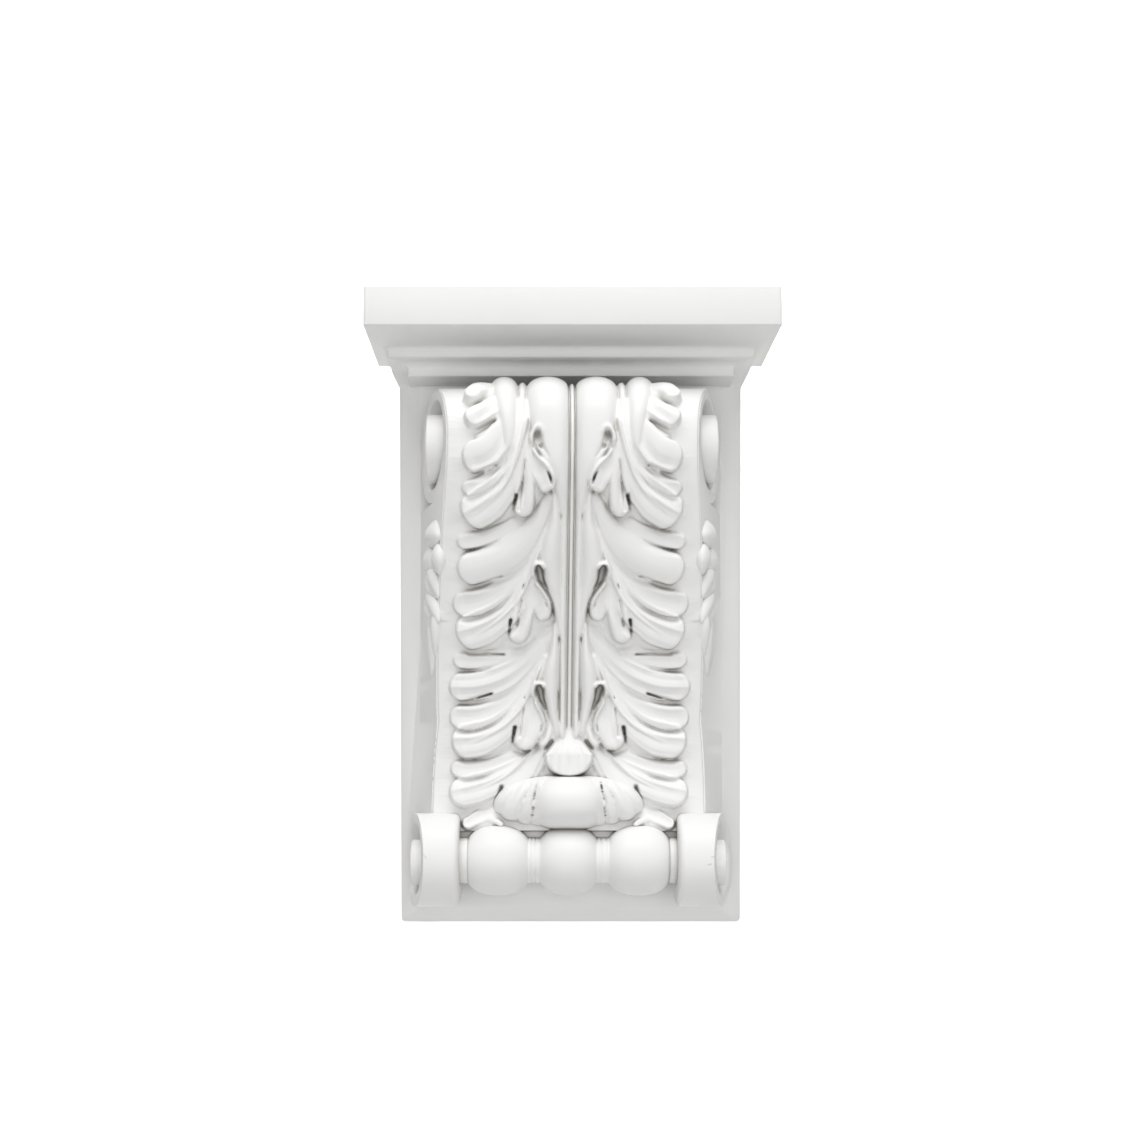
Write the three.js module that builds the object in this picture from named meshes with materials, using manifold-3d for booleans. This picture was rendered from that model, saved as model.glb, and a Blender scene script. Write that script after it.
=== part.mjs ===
// A one-piece classical corbel: cap slab, back plate, S-shaped console with scrolls, acanthus leaves and beads.
// Millimetres, +Z up. The back face lies in the plane y = 0, the front looks towards -Y,
// and the origin is the middle of the back face. The shape is mirror symmetric in X.

import * as THREE from 'three';
import { mergeVertices } from 'three/addons/utils/BufferGeometryUtils.js';
import Module from 'manifold-3d';

// Overall size
const HEIGHT = 305;
const DEPTH = 64;
const TOP = HEIGHT / 2;
const BOTTOM = -HEIGHT / 2;

// Cap slab and the two fillets under it
const CAP_HALF = 99.3;
const FASCIA = 18.6;
const SOFFIT = TOP - FASCIA;
const UPPER_FILLET = { half: 91.6, front: 31.2, height: 5.1, cove: 2.2, sideCove: 3.9 };
const LOWER_FILLET = { half: 82.3, front: 22.7, drop: 12, height: 3.4, cove: 4.5 };
const COVE_STEPS = 3;
const COVE_QUIRK = { upper: 0.02, lower: 0.4 };

// Back plate with a bevel all round
const PLATE_HALF = 88.3;
const PLATE_EDGE = 0.8;
const PLATE_FACE = 5.7;
const PLATE_BEVEL_SIDE = 10.9;
const PLATE_BEVEL_BOTTOM = 7.6;
const PLATE_FLARE = 3.3;
const PLATE_FLARE_HEIGHT = 6.5;

// Console body: top volute, S-curve and bottom scroll, as a side profile in (y, z)
const VOLUTE = { y: -33.3, z: 83.5, radius: 27.7 };
const VOLUTE_START = THREE.MathUtils.degToRad(75.6);
const SWELL = { drop: 23.5, turn: THREE.MathUtils.degToRad(17.4) };
const FOOT = { y: -30.5, z: -97, turn: THREE.MathUtils.degToRad(-11) };
const CURVE_PULL = { upper: 60, lower: 45 };
const SCROLL = { y: -28.9, z: -120.1, radius: 22.8, inner: 51.2 };
const BODY_BOTTOM = -122;
const PROFILE_STEPS = 12;
const PROFILE_START = 0.1;
const CURVE_SAMPLES = 240;

// Half widths of the body: its back edge is straight, its front edge widens downwards
const BACK_HALF = 76.6;
const DRAFT_STEPS = 6;
const FRONT_EDGE = [
  { z: 120, half: 60.0, y: -61 },
  { z: 40, half: 60.0, y: -61 },
  { z: -52, half: 64.5, y: -30 },
  { z: -100, half: 67.0, y: -30 },
];
const SCROLL_SIDE = { frontHalf: 69.8, frontY: -51.7, backHalf: 81.5, backY: -6.1 };

// Whorls on the ends of the volutes and scrolls
const VOLUTE_WHORL = { ring: 6, channel: 9, radius: 16.5, proud: 3.3, drop: 1.6, eye: 7.5 };
const SCROLL_WHORL = { ring: 5.4, channel: 6, radius: 11.2, proud: 2, drop: 1.4, eye: 4.5 };
const ROUND_STEPS = 24;
const DISH = { inset: 3.2, depth: 1.4 };
const EYE_INSET = 0.3;
// How far a piece is sunk into its neighbour, and how far a blank runs past what trims it
const JOIN = 1;
const SPARE = 10;

// Bead roll between the bottom scrolls
const BEAD = { radius: 17.4, halfLength: 15.4, pitch: 33.9, collar: 11.7 };
const BEAD_STEPS = 5;
const BEAD_SIDES = 16;
const BEAD_NECK = 0.9;
const COLLAR_GAP = 0.2;

// Ribbed shell above the beads
const SHELL = { z: -93, y: -30.5, half: 36.8, height: 13.4, reach: 18.5, barrel: 16.7 };
const SHELL_RIBS = 3;
const SHELL_SIDES = 10;
const SHELL_STEPS_PER_RIB = 2;
const SHELL_RIB = { low: 0.72, high: 0.98 };
const SHELL_DROOP = 2.5;
const SHELL_END = 0.3;
const BARREL_SWELL = 1.1;

// Front relief: every height stands on the S-curve
const SINK = 1.6;
const STEM = { start: 0, x: 11.8, half: 10.1, rise: 7.4, bottom: 50, endX: 5.2, endHalf: 2.8 };
const OUTER_ROLL = { start: 1.1, x: 32.6, half: 5.7, rise: 6, bottom: 84, endX: 30.4, endHalf: 2.6 };
const MID_RIB = { start: 3.3, x: 0, half: 1.3, rise: 3.6, bottom: -58, endX: 0, endHalf: 1.1 };
const RAIL = { start: 2.2, x: 6.4, half: 4, rise: 5, bottom: -56, endX: 4.4, endHalf: 2.4 };
const ROLL_STEPS = 7;
const ROLL_ARCH = [-1, -0.72, 0, 0.72, 1];
const BLADE = { start: 4.4, half: 42, rise: 2.8, bottom: -92 };
const BLADE_STEPS = 9;

// Leaf lobes of the left half, tier by tier: a spine through root, middle and tip as (distance from
// the middle, height), the half width at the tip and the rise over the ground
const TIERS = [
  [
    { root: [36, 104], middle: [42, 103.5], tip: [47.5, 98], half: 4.2, rise: 5.4 },
    { root: [32.5, 101.5], middle: [38.5, 93.5], tip: [45.6, 88.2], half: 5.2, rise: 5.6 },
    { root: [31, 101], middle: [35.5, 80], tip: [45.4, 71.8], half: 7.8, rise: 6.2 },
    { root: [27, 92], middle: [33.5, 68.5], tip: [48, 57.8], half: 4.2, rise: 5.2 },
    { root: [24.8, 98], middle: [28.6, 66], tip: [45.3, 47.8], half: 9.2, rise: 6.6 },
    { root: [22.6, 88], middle: [22.6, 62], tip: [22.8, 49.8], half: 5.4, rise: 6.8 },
    { root: [19.6, 78], middle: [15.8, 65.5], tip: [12.9, 59], half: 4.4, rise: 7.6 },
  ],
  [
    { root: [24, 46.5], middle: [35, 38], tip: [49.6, 33.8], half: 4, rise: 4.6 },
    { root: [11, 52], middle: [25.5, 32], tip: [46, 21.4], half: 8.6, rise: 6.4 },
    { root: [16, 36], middle: [31, 14], tip: [50.3, 4.8], half: 6.2, rise: 5.4 },
    { root: [15, 30], middle: [27, 6.5], tip: [47.2, -8.2], half: 9.2, rise: 6.6 },
    { root: [19.5, 22], middle: [22, 6], tip: [25, -8.4], half: 5.6, rise: 6.8 },
    { root: [18.6, 19], middle: [15.8, 6.5], tip: [13.6, 0], half: 4.4, rise: 7.6 },
  ],
  [
    { root: [28, -17], middle: [38, -21.8], tip: [51, -22.4], half: 3.8, rise: 4.4 },
    { root: [13, -12], middle: [29.5, -29], tip: [51.4, -35], half: 7.4, rise: 5.8 },
    { root: [17, -24], middle: [32, -43], tip: [52.2, -49.8], half: 6.2, rise: 5.2 },
    { root: [16, -30], middle: [28.5, -50.5], tip: [49, -61.8], half: 8.8, rise: 6.4 },
    { root: [18, -34], middle: [18.6, -49], tip: [21.4, -60.6], half: 6.8, rise: 7 },
  ],
  [
    { root: [24, -68], middle: [37, -73.6], tip: [52, -75.6], half: 4.4, rise: 4.6 },
    { root: [17, -66], middle: [30, -78.5], tip: [50.4, -87.4], half: 7.8, rise: 6 },
  ],
];
// The stem swells out again under each pair of leaves
const STEM_SWELLS = [
  { root: [6.5, 48], middle: [8.6, 34], tip: [8.6, 18], half: 5, rise: 6.6 },
  { root: [6.5, -10], middle: [8.4, -25], tip: [8, -40], half: 4.4, rise: 6.2 },
];
const MIDDLE_LEAF = { root: [0, -38], middle: [0, -60], tip: [0, -73.5], half: 9.8, rise: 8.2 };
// Along a lobe: place on its spine, share of the half width and share of the rise
const LOBE_STATIONS = [[0, 0.3, 0.5], [0.4, 0.62, 0.76], [0.75, 0.98, 0.95], [0.97, 0.96, 1]];
// The blunt end of a lobe past its tip, as shares of its half width and rise
const LOBE_END = { reach: 0.62, width: 0.55, rise: 0.84 };
// Across a lobe: place from edge to edge and share of the rise. Lobes up to a half width are plain.
const LOBE_SECTION = [[-1, 0.66], [-0.66, 1], [0, 0.7], [0.66, 1], [1, 0.66]];
const PLAIN_SECTION = [[-1, 0.6], [0, 1], [1, 0.6]];
const PLAIN_HALF = 5.2;

// Drop of buds and small leaves on each side: place in (y, z), half sizes and lean
const SIDE_DROP = [
  { y: -33, z: 42, halfY: 7.5, halfZ: 9 },
  { y: -31, z: 31, halfY: 8, halfZ: 8 },
  { y: -29, z: 19, halfY: 9, halfZ: 9 },
  { y: -27, z: 7, halfY: 8.6, halfZ: 9.5 },
  { y: -24, z: -5, halfY: 7.6, halfZ: 10 },
  { y: -21, z: -17, halfY: 4.8, halfZ: 12 },
];
const SIDE_DROP_RISE = 4.4;
const SIDE_DROP_LEAN = 0.12;
const SIDE_SLOPE = 0.32;
const BUD_SIDES = [7, 4];

const SHORTEST_EDGE = 0.06;
const SAME_PLACE = 1e-4;
const PAINT = { color: 0xeeeeec, roughness: 0.55, metalness: 0 };

const wasm = await Module();
wasm.setup();

// A closed mesh as a solid that can be joined and cut.
function solidOf(geometry) {
  const bare = geometry.index ? geometry.clone() : geometry;
  bare.deleteAttribute('normal');
  bare.deleteAttribute('uv');
  const merged = mergeVertices(bare, SAME_PLACE);
  return new wasm.Manifold(new wasm.Mesh({
    numProp: 3,
    vertProperties: new Float32Array(merged.attributes.position.array),
    triVerts: new Uint32Array(merged.index.array),
  }));
}

function signedVolume(points, triangles) {
  let sum = 0;
  for (let i = 0; i < triangles.length; i += 3) {
    const [a, b, c] = [points[triangles[i]], points[triangles[i + 1]], points[triangles[i + 2]]];
    sum += a.dot(new THREE.Vector3().crossVectors(b, c));
  }
  return sum;
}

// A closed solid through a list of rings with the same number of points, with flat ends.
function loftSolid(rings) {
  const count = rings[0].length;
  const points = rings.flat();
  const triangles = [];
  for (let row = 0; row < rings.length - 1; row += 1) {
    for (let k = 0; k < count; k += 1) {
      const next = (k + 1) % count;
      const [a, b] = [row * count + k, row * count + next];
      triangles.push(a, b, b + count, a, b + count, a + count);
    }
  }
  const last = (rings.length - 1) * count;
  for (let k = 1; k < count - 1; k += 1) {
    triangles.push(0, k + 1, k, last, last + k, last + k + 1);
  }
  if (signedVolume(points, triangles) < 0) {
    for (let i = 0; i < triangles.length; i += 3) {
      [triangles[i + 1], triangles[i + 2]] = [triangles[i + 2], triangles[i + 1]];
    }
  }
  const geometry = new THREE.BufferGeometry();
  geometry.setAttribute('position', new THREE.Float32BufferAttribute(points.flatMap((p) => p.toArray()), 3));
  geometry.setIndex(triangles);
  return solidOf(geometry);
}

// Profile points in (y, z), extruded along X from one place to another.
function slabAlongX(outline, fromX, toX) {
  const shape = new THREE.Shape(outline);
  const geometry = new THREE.ExtrudeGeometry(shape, { depth: toX - fromX, bevelEnabled: false, curveSegments: 1 });
  const turn = new THREE.Matrix4().makeBasis(
    new THREE.Vector3(0, 1, 0), new THREE.Vector3(0, 0, 1), new THREE.Vector3(1, 0, 0),
  );
  geometry.applyMatrix4(turn);
  geometry.translate(fromX, 0, 0);
  return solidOf(geometry);
}

function drum(centreY, centreZ, radius, fromX, toX, sides = ROUND_STEPS) {
  const geometry = new THREE.CylinderGeometry(radius, radius, toX - fromX, sides, 1);
  geometry.rotateZ(Math.PI / 2);
  geometry.translate((fromX + toX) / 2, centreY, centreZ);
  return solidOf(geometry);
}

// The same solid on the other side of the middle plane.
function mirrored(solid) {
  const mesh = solid.getMesh();
  const vertProperties = new Float32Array(mesh.vertProperties);
  const triVerts = new Uint32Array(mesh.triVerts);
  for (let i = 0; i < vertProperties.length; i += 3) {
    vertProperties[i] = -vertProperties[i];
  }
  for (let i = 0; i < triVerts.length; i += 3) {
    [triVerts[i + 1], triVerts[i + 2]] = [triVerts[i + 2], triVerts[i + 1]];
  }
  return new wasm.Manifold(new wasm.Mesh({ numProp: 3, vertProperties, triVerts }));
}

// The S-curve of the front, from the top of the volute down, as points with their outward normals.
function frontCurve() {
  const path = new THREE.CurvePath();
  const swellRadius = SWELL.drop / Math.sin(SWELL.turn);
  const swellEnd = new THREE.Vector2(
    VOLUTE.y - VOLUTE.radius + swellRadius * (1 - Math.cos(SWELL.turn)),
    VOLUTE.z - SWELL.drop,
  );
  const volute = new THREE.EllipseCurve(
    VOLUTE.y, VOLUTE.z, VOLUTE.radius, VOLUTE.radius, VOLUTE_START, Math.PI, false,
  );
  const swell = new THREE.EllipseCurve(
    VOLUTE.y - VOLUTE.radius + swellRadius, VOLUTE.z, swellRadius, swellRadius,
    Math.PI, Math.PI + SWELL.turn, false,
  );
  const foot = new THREE.Vector2(FOOT.y, FOOT.z);
  const upperPull = new THREE.Vector2(Math.sin(SWELL.turn), -Math.cos(SWELL.turn)).multiplyScalar(CURVE_PULL.upper);
  const lowerPull = new THREE.Vector2(-Math.sin(FOOT.turn), Math.cos(FOOT.turn)).multiplyScalar(CURVE_PULL.lower);
  path.add(volute);
  path.add(swell);
  path.add(new THREE.CubicBezierCurve(swellEnd, swellEnd.clone().add(upperPull), foot.clone().add(lowerPull), foot));
  return path;
}

const front = frontCurve();
const frontLength = front.getLength();
const frontTable = Array.from({ length: CURVE_SAMPLES + 1 }, (unused, k) => front.getPointAt(k / CURVE_SAMPLES));

// Share of the curve's length at which the front has the given height.
function shareAtHeight(z) {
  const last = frontTable.length - 1;
  let k = 0;
  while (k < last && !(frontTable[k].y >= z && frontTable[k + 1].y < z)) {
    k += 1;
  }
  if (k === last) {
    return z > frontTable[0].y ? 0 : 1;
  }
  const part = (frontTable[k].y - z) / (frontTable[k].y - frontTable[k + 1].y);
  return (k + part) / last;
}

// A point of the relief: distance from the middle, length along the curve and height over the ground.
function onFront(x, along, rise) {
  const share = THREE.MathUtils.clamp(along / frontLength, 0, 1);
  const place = front.getPointAt(share);
  const heading = front.getTangentAt(share);
  return new THREE.Vector3(x, place.x - rise * -heading.y, place.y + rise * -heading.x);
}

// Rectangles in plan, one over another, for the cap and its fillets.
function cappedLevels(levels) {
  return loftSolid(levels.map(([z, half, reach]) => [
    new THREE.Vector3(-half, 0, z),
    new THREE.Vector3(half, 0, z),
    new THREE.Vector3(half, -reach, z),
    new THREE.Vector3(-half, -reach, z),
  ]));
}

// Levels of a hollow quarter round between an upper, wider rectangle and a lower, narrower one.
function coveLevels(zTop, height, halfTop, halfLow, frontTop, frontLow) {
  const levels = [];
  for (let k = 0; k <= COVE_STEPS; k += 1) {
    const angle = (k / COVE_STEPS) * Math.PI / 2;
    const inward = Math.sin(angle);
    const down = 1 - Math.cos(angle);
    levels.push([
      zTop - height * down,
      THREE.MathUtils.lerp(halfTop, halfLow, inward),
      THREE.MathUtils.lerp(frontTop, frontLow, inward),
    ]);
  }
  return levels;
}

function makeCap() {
  const upperBottom = SOFFIT - UPPER_FILLET.height;
  const lowerBottom = SOFFIT - LOWER_FILLET.drop;
  return cappedLevels([
    [TOP, CAP_HALF, DEPTH],
    [SOFFIT, CAP_HALF, DEPTH],
    ...coveLevels(
      SOFFIT - COVE_QUIRK.upper, UPPER_FILLET.cove,
      UPPER_FILLET.half + UPPER_FILLET.sideCove, UPPER_FILLET.half,
      UPPER_FILLET.front + UPPER_FILLET.cove, UPPER_FILLET.front,
    ),
    [upperBottom, UPPER_FILLET.half, UPPER_FILLET.front],
    ...coveLevels(
      upperBottom - COVE_QUIRK.lower, LOWER_FILLET.drop - UPPER_FILLET.height - LOWER_FILLET.height,
      LOWER_FILLET.half + LOWER_FILLET.cove, LOWER_FILLET.half,
      LOWER_FILLET.front + LOWER_FILLET.cove, LOWER_FILLET.front,
    ),
    [lowerBottom, LOWER_FILLET.half, LOWER_FILLET.front],
  ]);
}

function plateRing(y, half, zLow, zHigh) {
  return [
    new THREE.Vector3(-half, y, zLow),
    new THREE.Vector3(half, y, zLow),
    new THREE.Vector3(half, y, zHigh),
    new THREE.Vector3(-half, y, zHigh),
  ];
}

function makePlate() {
  const zHigh = SOFFIT - JOIN;
  const plate = loftSolid([
    plateRing(0, PLATE_HALF, BOTTOM, zHigh),
    plateRing(-PLATE_EDGE, PLATE_HALF, BOTTOM, zHigh),
    plateRing(-PLATE_FACE, PLATE_HALF - PLATE_BEVEL_SIDE, BOTTOM + PLATE_BEVEL_BOTTOM, zHigh),
  ]);
  const flareTop = SOFFIT - UPPER_FILLET.height;
  const flare = cappedLevels([
    [flareTop, PLATE_HALF + PLATE_FLARE, PLATE_FACE],
    [flareTop - PLATE_FLARE_HEIGHT, PLATE_HALF, PLATE_EDGE],
  ]);
  return plate.add(flare);
}

// Space between the two drafted side planes of the body.
function bodyWedge() {
  const reach = -DEPTH - SPARE;
  const levels = [FRONT_EDGE[0]];
  for (let k = 1; k < FRONT_EDGE.length; k += 1) {
    const [above, below] = [FRONT_EDGE[k - 1], FRONT_EDGE[k]];
    const steps = above.y === below.y ? 1 : DRAFT_STEPS;
    for (let step = 1; step <= steps; step += 1) {
      const share = step / steps;
      levels.push({
        z: THREE.MathUtils.lerp(above.z, below.z, share),
        half: THREE.MathUtils.lerp(above.half, below.half, share),
        y: THREE.MathUtils.lerp(above.y, below.y, share),
      });
    }
  }
  return loftSolid(levels.map(({ z, half, y }) => {
    const slope = (BACK_HALF - half) / (-PLATE_FACE - y);
    const frontHalf = BACK_HALF + slope * (reach + PLATE_FACE);
    const backHalf = BACK_HALF + slope * PLATE_FACE;
    return [
      new THREE.Vector3(-backHalf, 0, z),
      new THREE.Vector3(backHalf, 0, z),
      new THREE.Vector3(frontHalf, reach, z),
      new THREE.Vector3(-frontHalf, reach, z),
    ];
  }));
}

function makeBody() {
  const outline = [];
  for (let k = 0; k <= PROFILE_STEPS; k += 1) {
    outline.push(front.getPointAt(THREE.MathUtils.lerp(PROFILE_START, 1, k / PROFILE_STEPS)));
  }
  outline.push(new THREE.Vector2(FOOT.y, BODY_BOTTOM));
  outline.push(new THREE.Vector2(-JOIN, BODY_BOTTOM));
  outline.push(new THREE.Vector2(-JOIN, VOLUTE.z));
  const end = BACK_HALF + SPARE;
  return slabAlongX(outline, -end, end)
    .add(drum(VOLUTE.y, VOLUTE.z, VOLUTE.radius, -end, end))
    .intersect(bodyWedge());
}

// Ring, channel, whorl and eye on one end of a volute, for the side plane through two points.
function cutWhorl(solid, centre, whorl, side) {
  const slope = (side.backHalf - side.frontHalf) / (side.backY - side.frontY);
  const halfAtCentre = side.frontHalf + slope * (centre.y - side.frontY);
  const tilt = Math.atan(slope);
  const place = new THREE.Matrix4()
    .makeTranslation(halfAtCentre, centre.y, centre.z)
    .multiply(new THREE.Matrix4().makeRotationZ(-tilt));
  const faceDrum = (radius, fromX, toX, drop) => {
    const geometry = new THREE.CylinderGeometry(radius, radius, toX - fromX, ROUND_STEPS, 1);
    geometry.rotateZ(Math.PI / 2);
    geometry.translate((fromX + toX) / 2, 0, -drop);
    geometry.applyMatrix4(place);
    return solidOf(geometry);
  };
  const channel = faceDrum(centre.radius - whorl.ring, -whorl.channel, SPARE, -whorl.drop / 2);
  const boss = faceDrum(whorl.radius, -whorl.channel - JOIN, whorl.proud, whorl.drop);
  const dish = faceDrum(whorl.radius - DISH.inset, whorl.proud - DISH.depth, SPARE, whorl.drop);
  const eye = faceDrum(whorl.eye, -whorl.channel, whorl.proud - EYE_INSET, whorl.drop);
  return solid.subtract(channel).add(boss).subtract(dish).add(eye);
}

function bothEnds(solid, centre, whorl, side) {
  const oneEnd = cutWhorl(solid, centre, whorl, side);
  return mirrored(cutWhorl(mirrored(oneEnd), centre, whorl, side));
}

function makeScroll() {
  const { frontHalf, frontY, backHalf, backY } = SCROLL_SIDE;
  const slope = (backHalf - frontHalf) / (backY - frontY);
  const halfAt = (y) => frontHalf + slope * (y - frontY);
  const wedge = loftSolid([BOTTOM, SCROLL.z + SCROLL.radius + JOIN].map((z) => [
    new THREE.Vector3(SCROLL.inner, 0, z),
    new THREE.Vector3(halfAt(0), 0, z),
    new THREE.Vector3(halfAt(-DEPTH), -DEPTH, z),
    new THREE.Vector3(SCROLL.inner, -DEPTH, z),
  ]));
  const blank = drum(SCROLL.y, SCROLL.z, SCROLL.radius, SCROLL.inner - JOIN, BACK_HALF + SPARE).intersect(wedge);
  return cutWhorl(blank, SCROLL, SCROLL_WHORL, SCROLL_SIDE);
}

// Beads and collars between the scrolls, with the flat web behind them.
function makeBeads() {
  const end = SCROLL.inner + JOIN;
  const outline = [new THREE.Vector2(0, -end), new THREE.Vector2(BEAD.collar, -end)];
  const widest = Math.asin(BEAD.halfLength / BEAD.radius);
  for (const centre of [-BEAD.pitch, 0, BEAD.pitch]) {
    outline.push(new THREE.Vector2(BEAD.collar, centre - BEAD.halfLength - COLLAR_GAP));
    for (let k = 0; k <= BEAD_STEPS; k += 1) {
      const angle = THREE.MathUtils.lerp(-widest, widest, k / BEAD_STEPS);
      outline.push(new THREE.Vector2(
        Math.max(BEAD.radius * Math.cos(angle), BEAD.collar * BEAD_NECK),
        centre + BEAD.radius * Math.sin(angle),
      ));
    }
    outline.push(new THREE.Vector2(BEAD.collar, centre + BEAD.halfLength + COLLAR_GAP));
  }
  outline.push(new THREE.Vector2(BEAD.collar, end), new THREE.Vector2(0, end));
  const geometry = new THREE.LatheGeometry(outline, BEAD_SIDES);
  geometry.rotateZ(-Math.PI / 2);
  geometry.translate(0, SCROLL.y, SCROLL.z);
  const web = slabAlongX([
    new THREE.Vector2(-JOIN, FOOT.z), new THREE.Vector2(FOOT.y, FOOT.z),
    new THREE.Vector2(SCROLL.y, BODY_BOTTOM), new THREE.Vector2(-JOIN, BODY_BOTTOM),
  ], -end, end);
  return solidOf(geometry).add(web);
}

// The shell: a smooth barrel in the middle and ribs that fan out to both ends.
function shellSwell(t) {
  const x = Math.abs(SHELL.half * t);
  const round = Math.sqrt(1 - (1 - SHELL_END * SHELL_END) * t * t);
  if (x <= SHELL.barrel) {
    return round * THREE.MathUtils.lerp(1, BARREL_SWELL, Math.cos(Math.PI * 0.5 * x / SHELL.barrel));
  }
  const flank = (x - SHELL.barrel) / (SHELL.half - SHELL.barrel);
  const rib = Math.abs(Math.sin(Math.PI * SHELL_RIBS * flank));
  return round * THREE.MathUtils.lerp(SHELL_RIB.low, SHELL_RIB.high, rib);
}

function makeShell() {
  const barrelShare = SHELL.barrel / SHELL.half;
  const flankSteps = SHELL_STEPS_PER_RIB * SHELL_RIBS;
  const flank = Array.from({ length: flankSteps }, (unused, k) => (
    THREE.MathUtils.lerp(1, barrelShare, k / flankSteps)
  ));
  const barrel = [1, 0.6, 0.2].map((share) => share * barrelShare);
  const right = [...flank, ...barrel];
  const places = [...right.map((t) => -t), ...right.reverse()];
  const rings = places.map((t) => {
    const swell = shellSwell(t);
    return Array.from({ length: SHELL_SIDES }, (unused, j) => {
      const angle = (j / SHELL_SIDES) * 2 * Math.PI;
      return new THREE.Vector3(
        SHELL.half * t,
        SHELL.y - SHELL.reach * swell * Math.cos(angle),
        SHELL.z - SHELL_DROOP * t * t + SHELL.height * swell * Math.sin(angle),
      );
    });
  });
  return loftSolid(rings);
}

// A smooth round bar lying on the front, from the top of the volute down to a height.
function makeRoll({ start, x, half, rise, bottom, endX, endHalf }) {
  const endAlong = shareAtHeight(bottom) * frontLength;
  const rings = [];
  for (let k = 0; k <= ROLL_STEPS; k += 1) {
    const t = k / ROLL_STEPS;
    const width = THREE.MathUtils.lerp(half, endHalf, t);
    const height = rise * Math.sqrt(width / half);
    const arch = ROLL_ARCH.map((u) => [u, Math.sqrt(1 - u * u)]);
    const outline = [[-1, -SINK / height], ...arch, [1, -SINK / height]];
    rings.push(outline.map(([u, v]) => onFront(
      THREE.MathUtils.lerp(x, endX, t) + u * width,
      THREE.MathUtils.lerp(start, endAlong, t),
      v * height,
    )));
  }
  return loftSolid(rings);
}

// The body of the leaf under its lobes, a low band that follows the curve.
function makeBlade() {
  const endAlong = shareAtHeight(BLADE.bottom) * frontLength;
  const rings = [];
  for (let k = 0; k <= BLADE_STEPS; k += 1) {
    const along = THREE.MathUtils.lerp(BLADE.start, endAlong, k / BLADE_STEPS);
    rings.push([
      onFront(-BLADE.half, along, -SINK),
      onFront(-BLADE.half, along, BLADE.rise),
      onFront(BLADE.half, along, BLADE.rise),
      onFront(BLADE.half, along, -SINK),
    ]);
  }
  return loftSolid(rings);
}

// A leaf lobe: narrow at its root, full and blunt at its tip, with a hollow along its middle and raised lips.
function makeLobe({ root, middle, tip, half, rise }) {
  const [start, bend, end] = [root, middle, tip].map(([x, z]) => (
    new THREE.Vector2(x, shareAtHeight(z) * frontLength)
  ));
  const pull = bend.clone().multiplyScalar(2).addScaledVector(start, -0.5).addScaledVector(end, -0.5);
  const spine = new THREE.QuadraticBezierCurve(start, pull, end);
  const section = half > PLAIN_HALF ? LOBE_SECTION : PLAIN_SECTION;
  const ringAt = (centre, heading, width, top) => {
    const sideways = new THREE.Vector2(-heading.y, heading.x).multiplyScalar(width);
    const outline = [[-1, -SINK], ...section.map(([u, v]) => [u, v * top]), [1, -SINK]];
    return outline.map(([u, lift]) => {
      const spot = centre.clone().addScaledVector(sideways, u);
      return onFront(spot.x, spot.y, lift);
    });
  };
  const rings = LOBE_STATIONS.map(([t, widthShare, riseShare]) => (
    ringAt(spine.getPoint(t), spine.getTangent(t), half * widthShare, rise * riseShare)
  ));
  const heading = spine.getTangent(1);
  const blunt = end.clone().addScaledVector(heading, half * LOBE_END.reach);
  rings.push(ringAt(blunt, heading, half * LOBE_END.width, rise * LOBE_END.rise));
  return loftSolid(rings);
}

// Bud or small leaf of the side drop, flattened against the drafted side.
function makeSideLeaf({ y, z, halfY, halfZ }) {
  const half = BACK_HALF + SIDE_SLOPE * (y + PLATE_FACE);
  const geometry = new THREE.SphereGeometry(1, ...BUD_SIDES);
  geometry.scale(SIDE_DROP_RISE, halfY, halfZ);
  geometry.rotateX(SIDE_DROP_LEAN);
  geometry.rotateZ(-Math.atan(SIDE_SLOPE));
  geometry.translate(half, y, z);
  return solidOf(geometry);
}

function makeCorbel() {
  const voluteSide = { frontHalf: FRONT_EDGE[0].half, frontY: FRONT_EDGE[0].y, backHalf: BACK_HALF, backY: -PLATE_FACE };
  let corbel = bothEnds(makeBody(), VOLUTE, VOLUTE_WHORL, voluteSide);
  corbel = corbel.add(makePlate()).add(makeCap()).add(makeBeads()).add(makeShell()).add(makeBlade());
  const scroll = makeScroll();
  corbel = corbel.add(scroll).add(mirrored(scroll));
  const halfPieces = [
    makeRoll(STEM),
    makeRoll(OUTER_ROLL),
    makeRoll(RAIL),
    ...[...TIERS.flat(), ...STEM_SWELLS].map(makeLobe),
    ...SIDE_DROP.map(makeSideLeaf),
  ];
  for (const piece of halfPieces) {
    corbel = corbel.add(piece).add(mirrored(piece));
  }
  corbel = corbel.add(makeRoll(MID_RIB));
  return corbel.add(makeLobe(MIDDLE_LEAF));
}

// Triangles with every edge shorter than the given length closed up.
function weldShortEdges(positions, triangles, shortest) {
  const owner = Array.from({ length: positions.length / 3 }, (unused, k) => k);
  const find = (k) => {
    let top = k;
    while (owner[top] !== top) {
      top = owner[top];
    }
    return top;
  };
  const point = (k) => new THREE.Vector3().fromArray(positions, 3 * k);
  for (let i = 0; i < triangles.length; i += 3) {
    for (let k = 0; k < 3; k += 1) {
      const a = find(triangles[i + k]);
      const b = find(triangles[i + (k + 1) % 3]);
      if (a !== b && point(a).distanceTo(point(b)) < shortest) {
        owner[Math.max(a, b)] = Math.min(a, b);
      }
    }
  }
  const kept = new Map();
  for (let i = 0; i < triangles.length; i += 3) {
    const corners = [0, 1, 2].map((k) => find(triangles[i + k]));
    if (new Set(corners).size === 3) {
      const key = [...corners].sort((a, b) => a - b).join(' ');
      if (kept.has(key)) {
        kept.delete(key);
      } else {
        kept.set(key, corners);
      }
    }
  }
  return [...kept.values()].flat();
}

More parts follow.
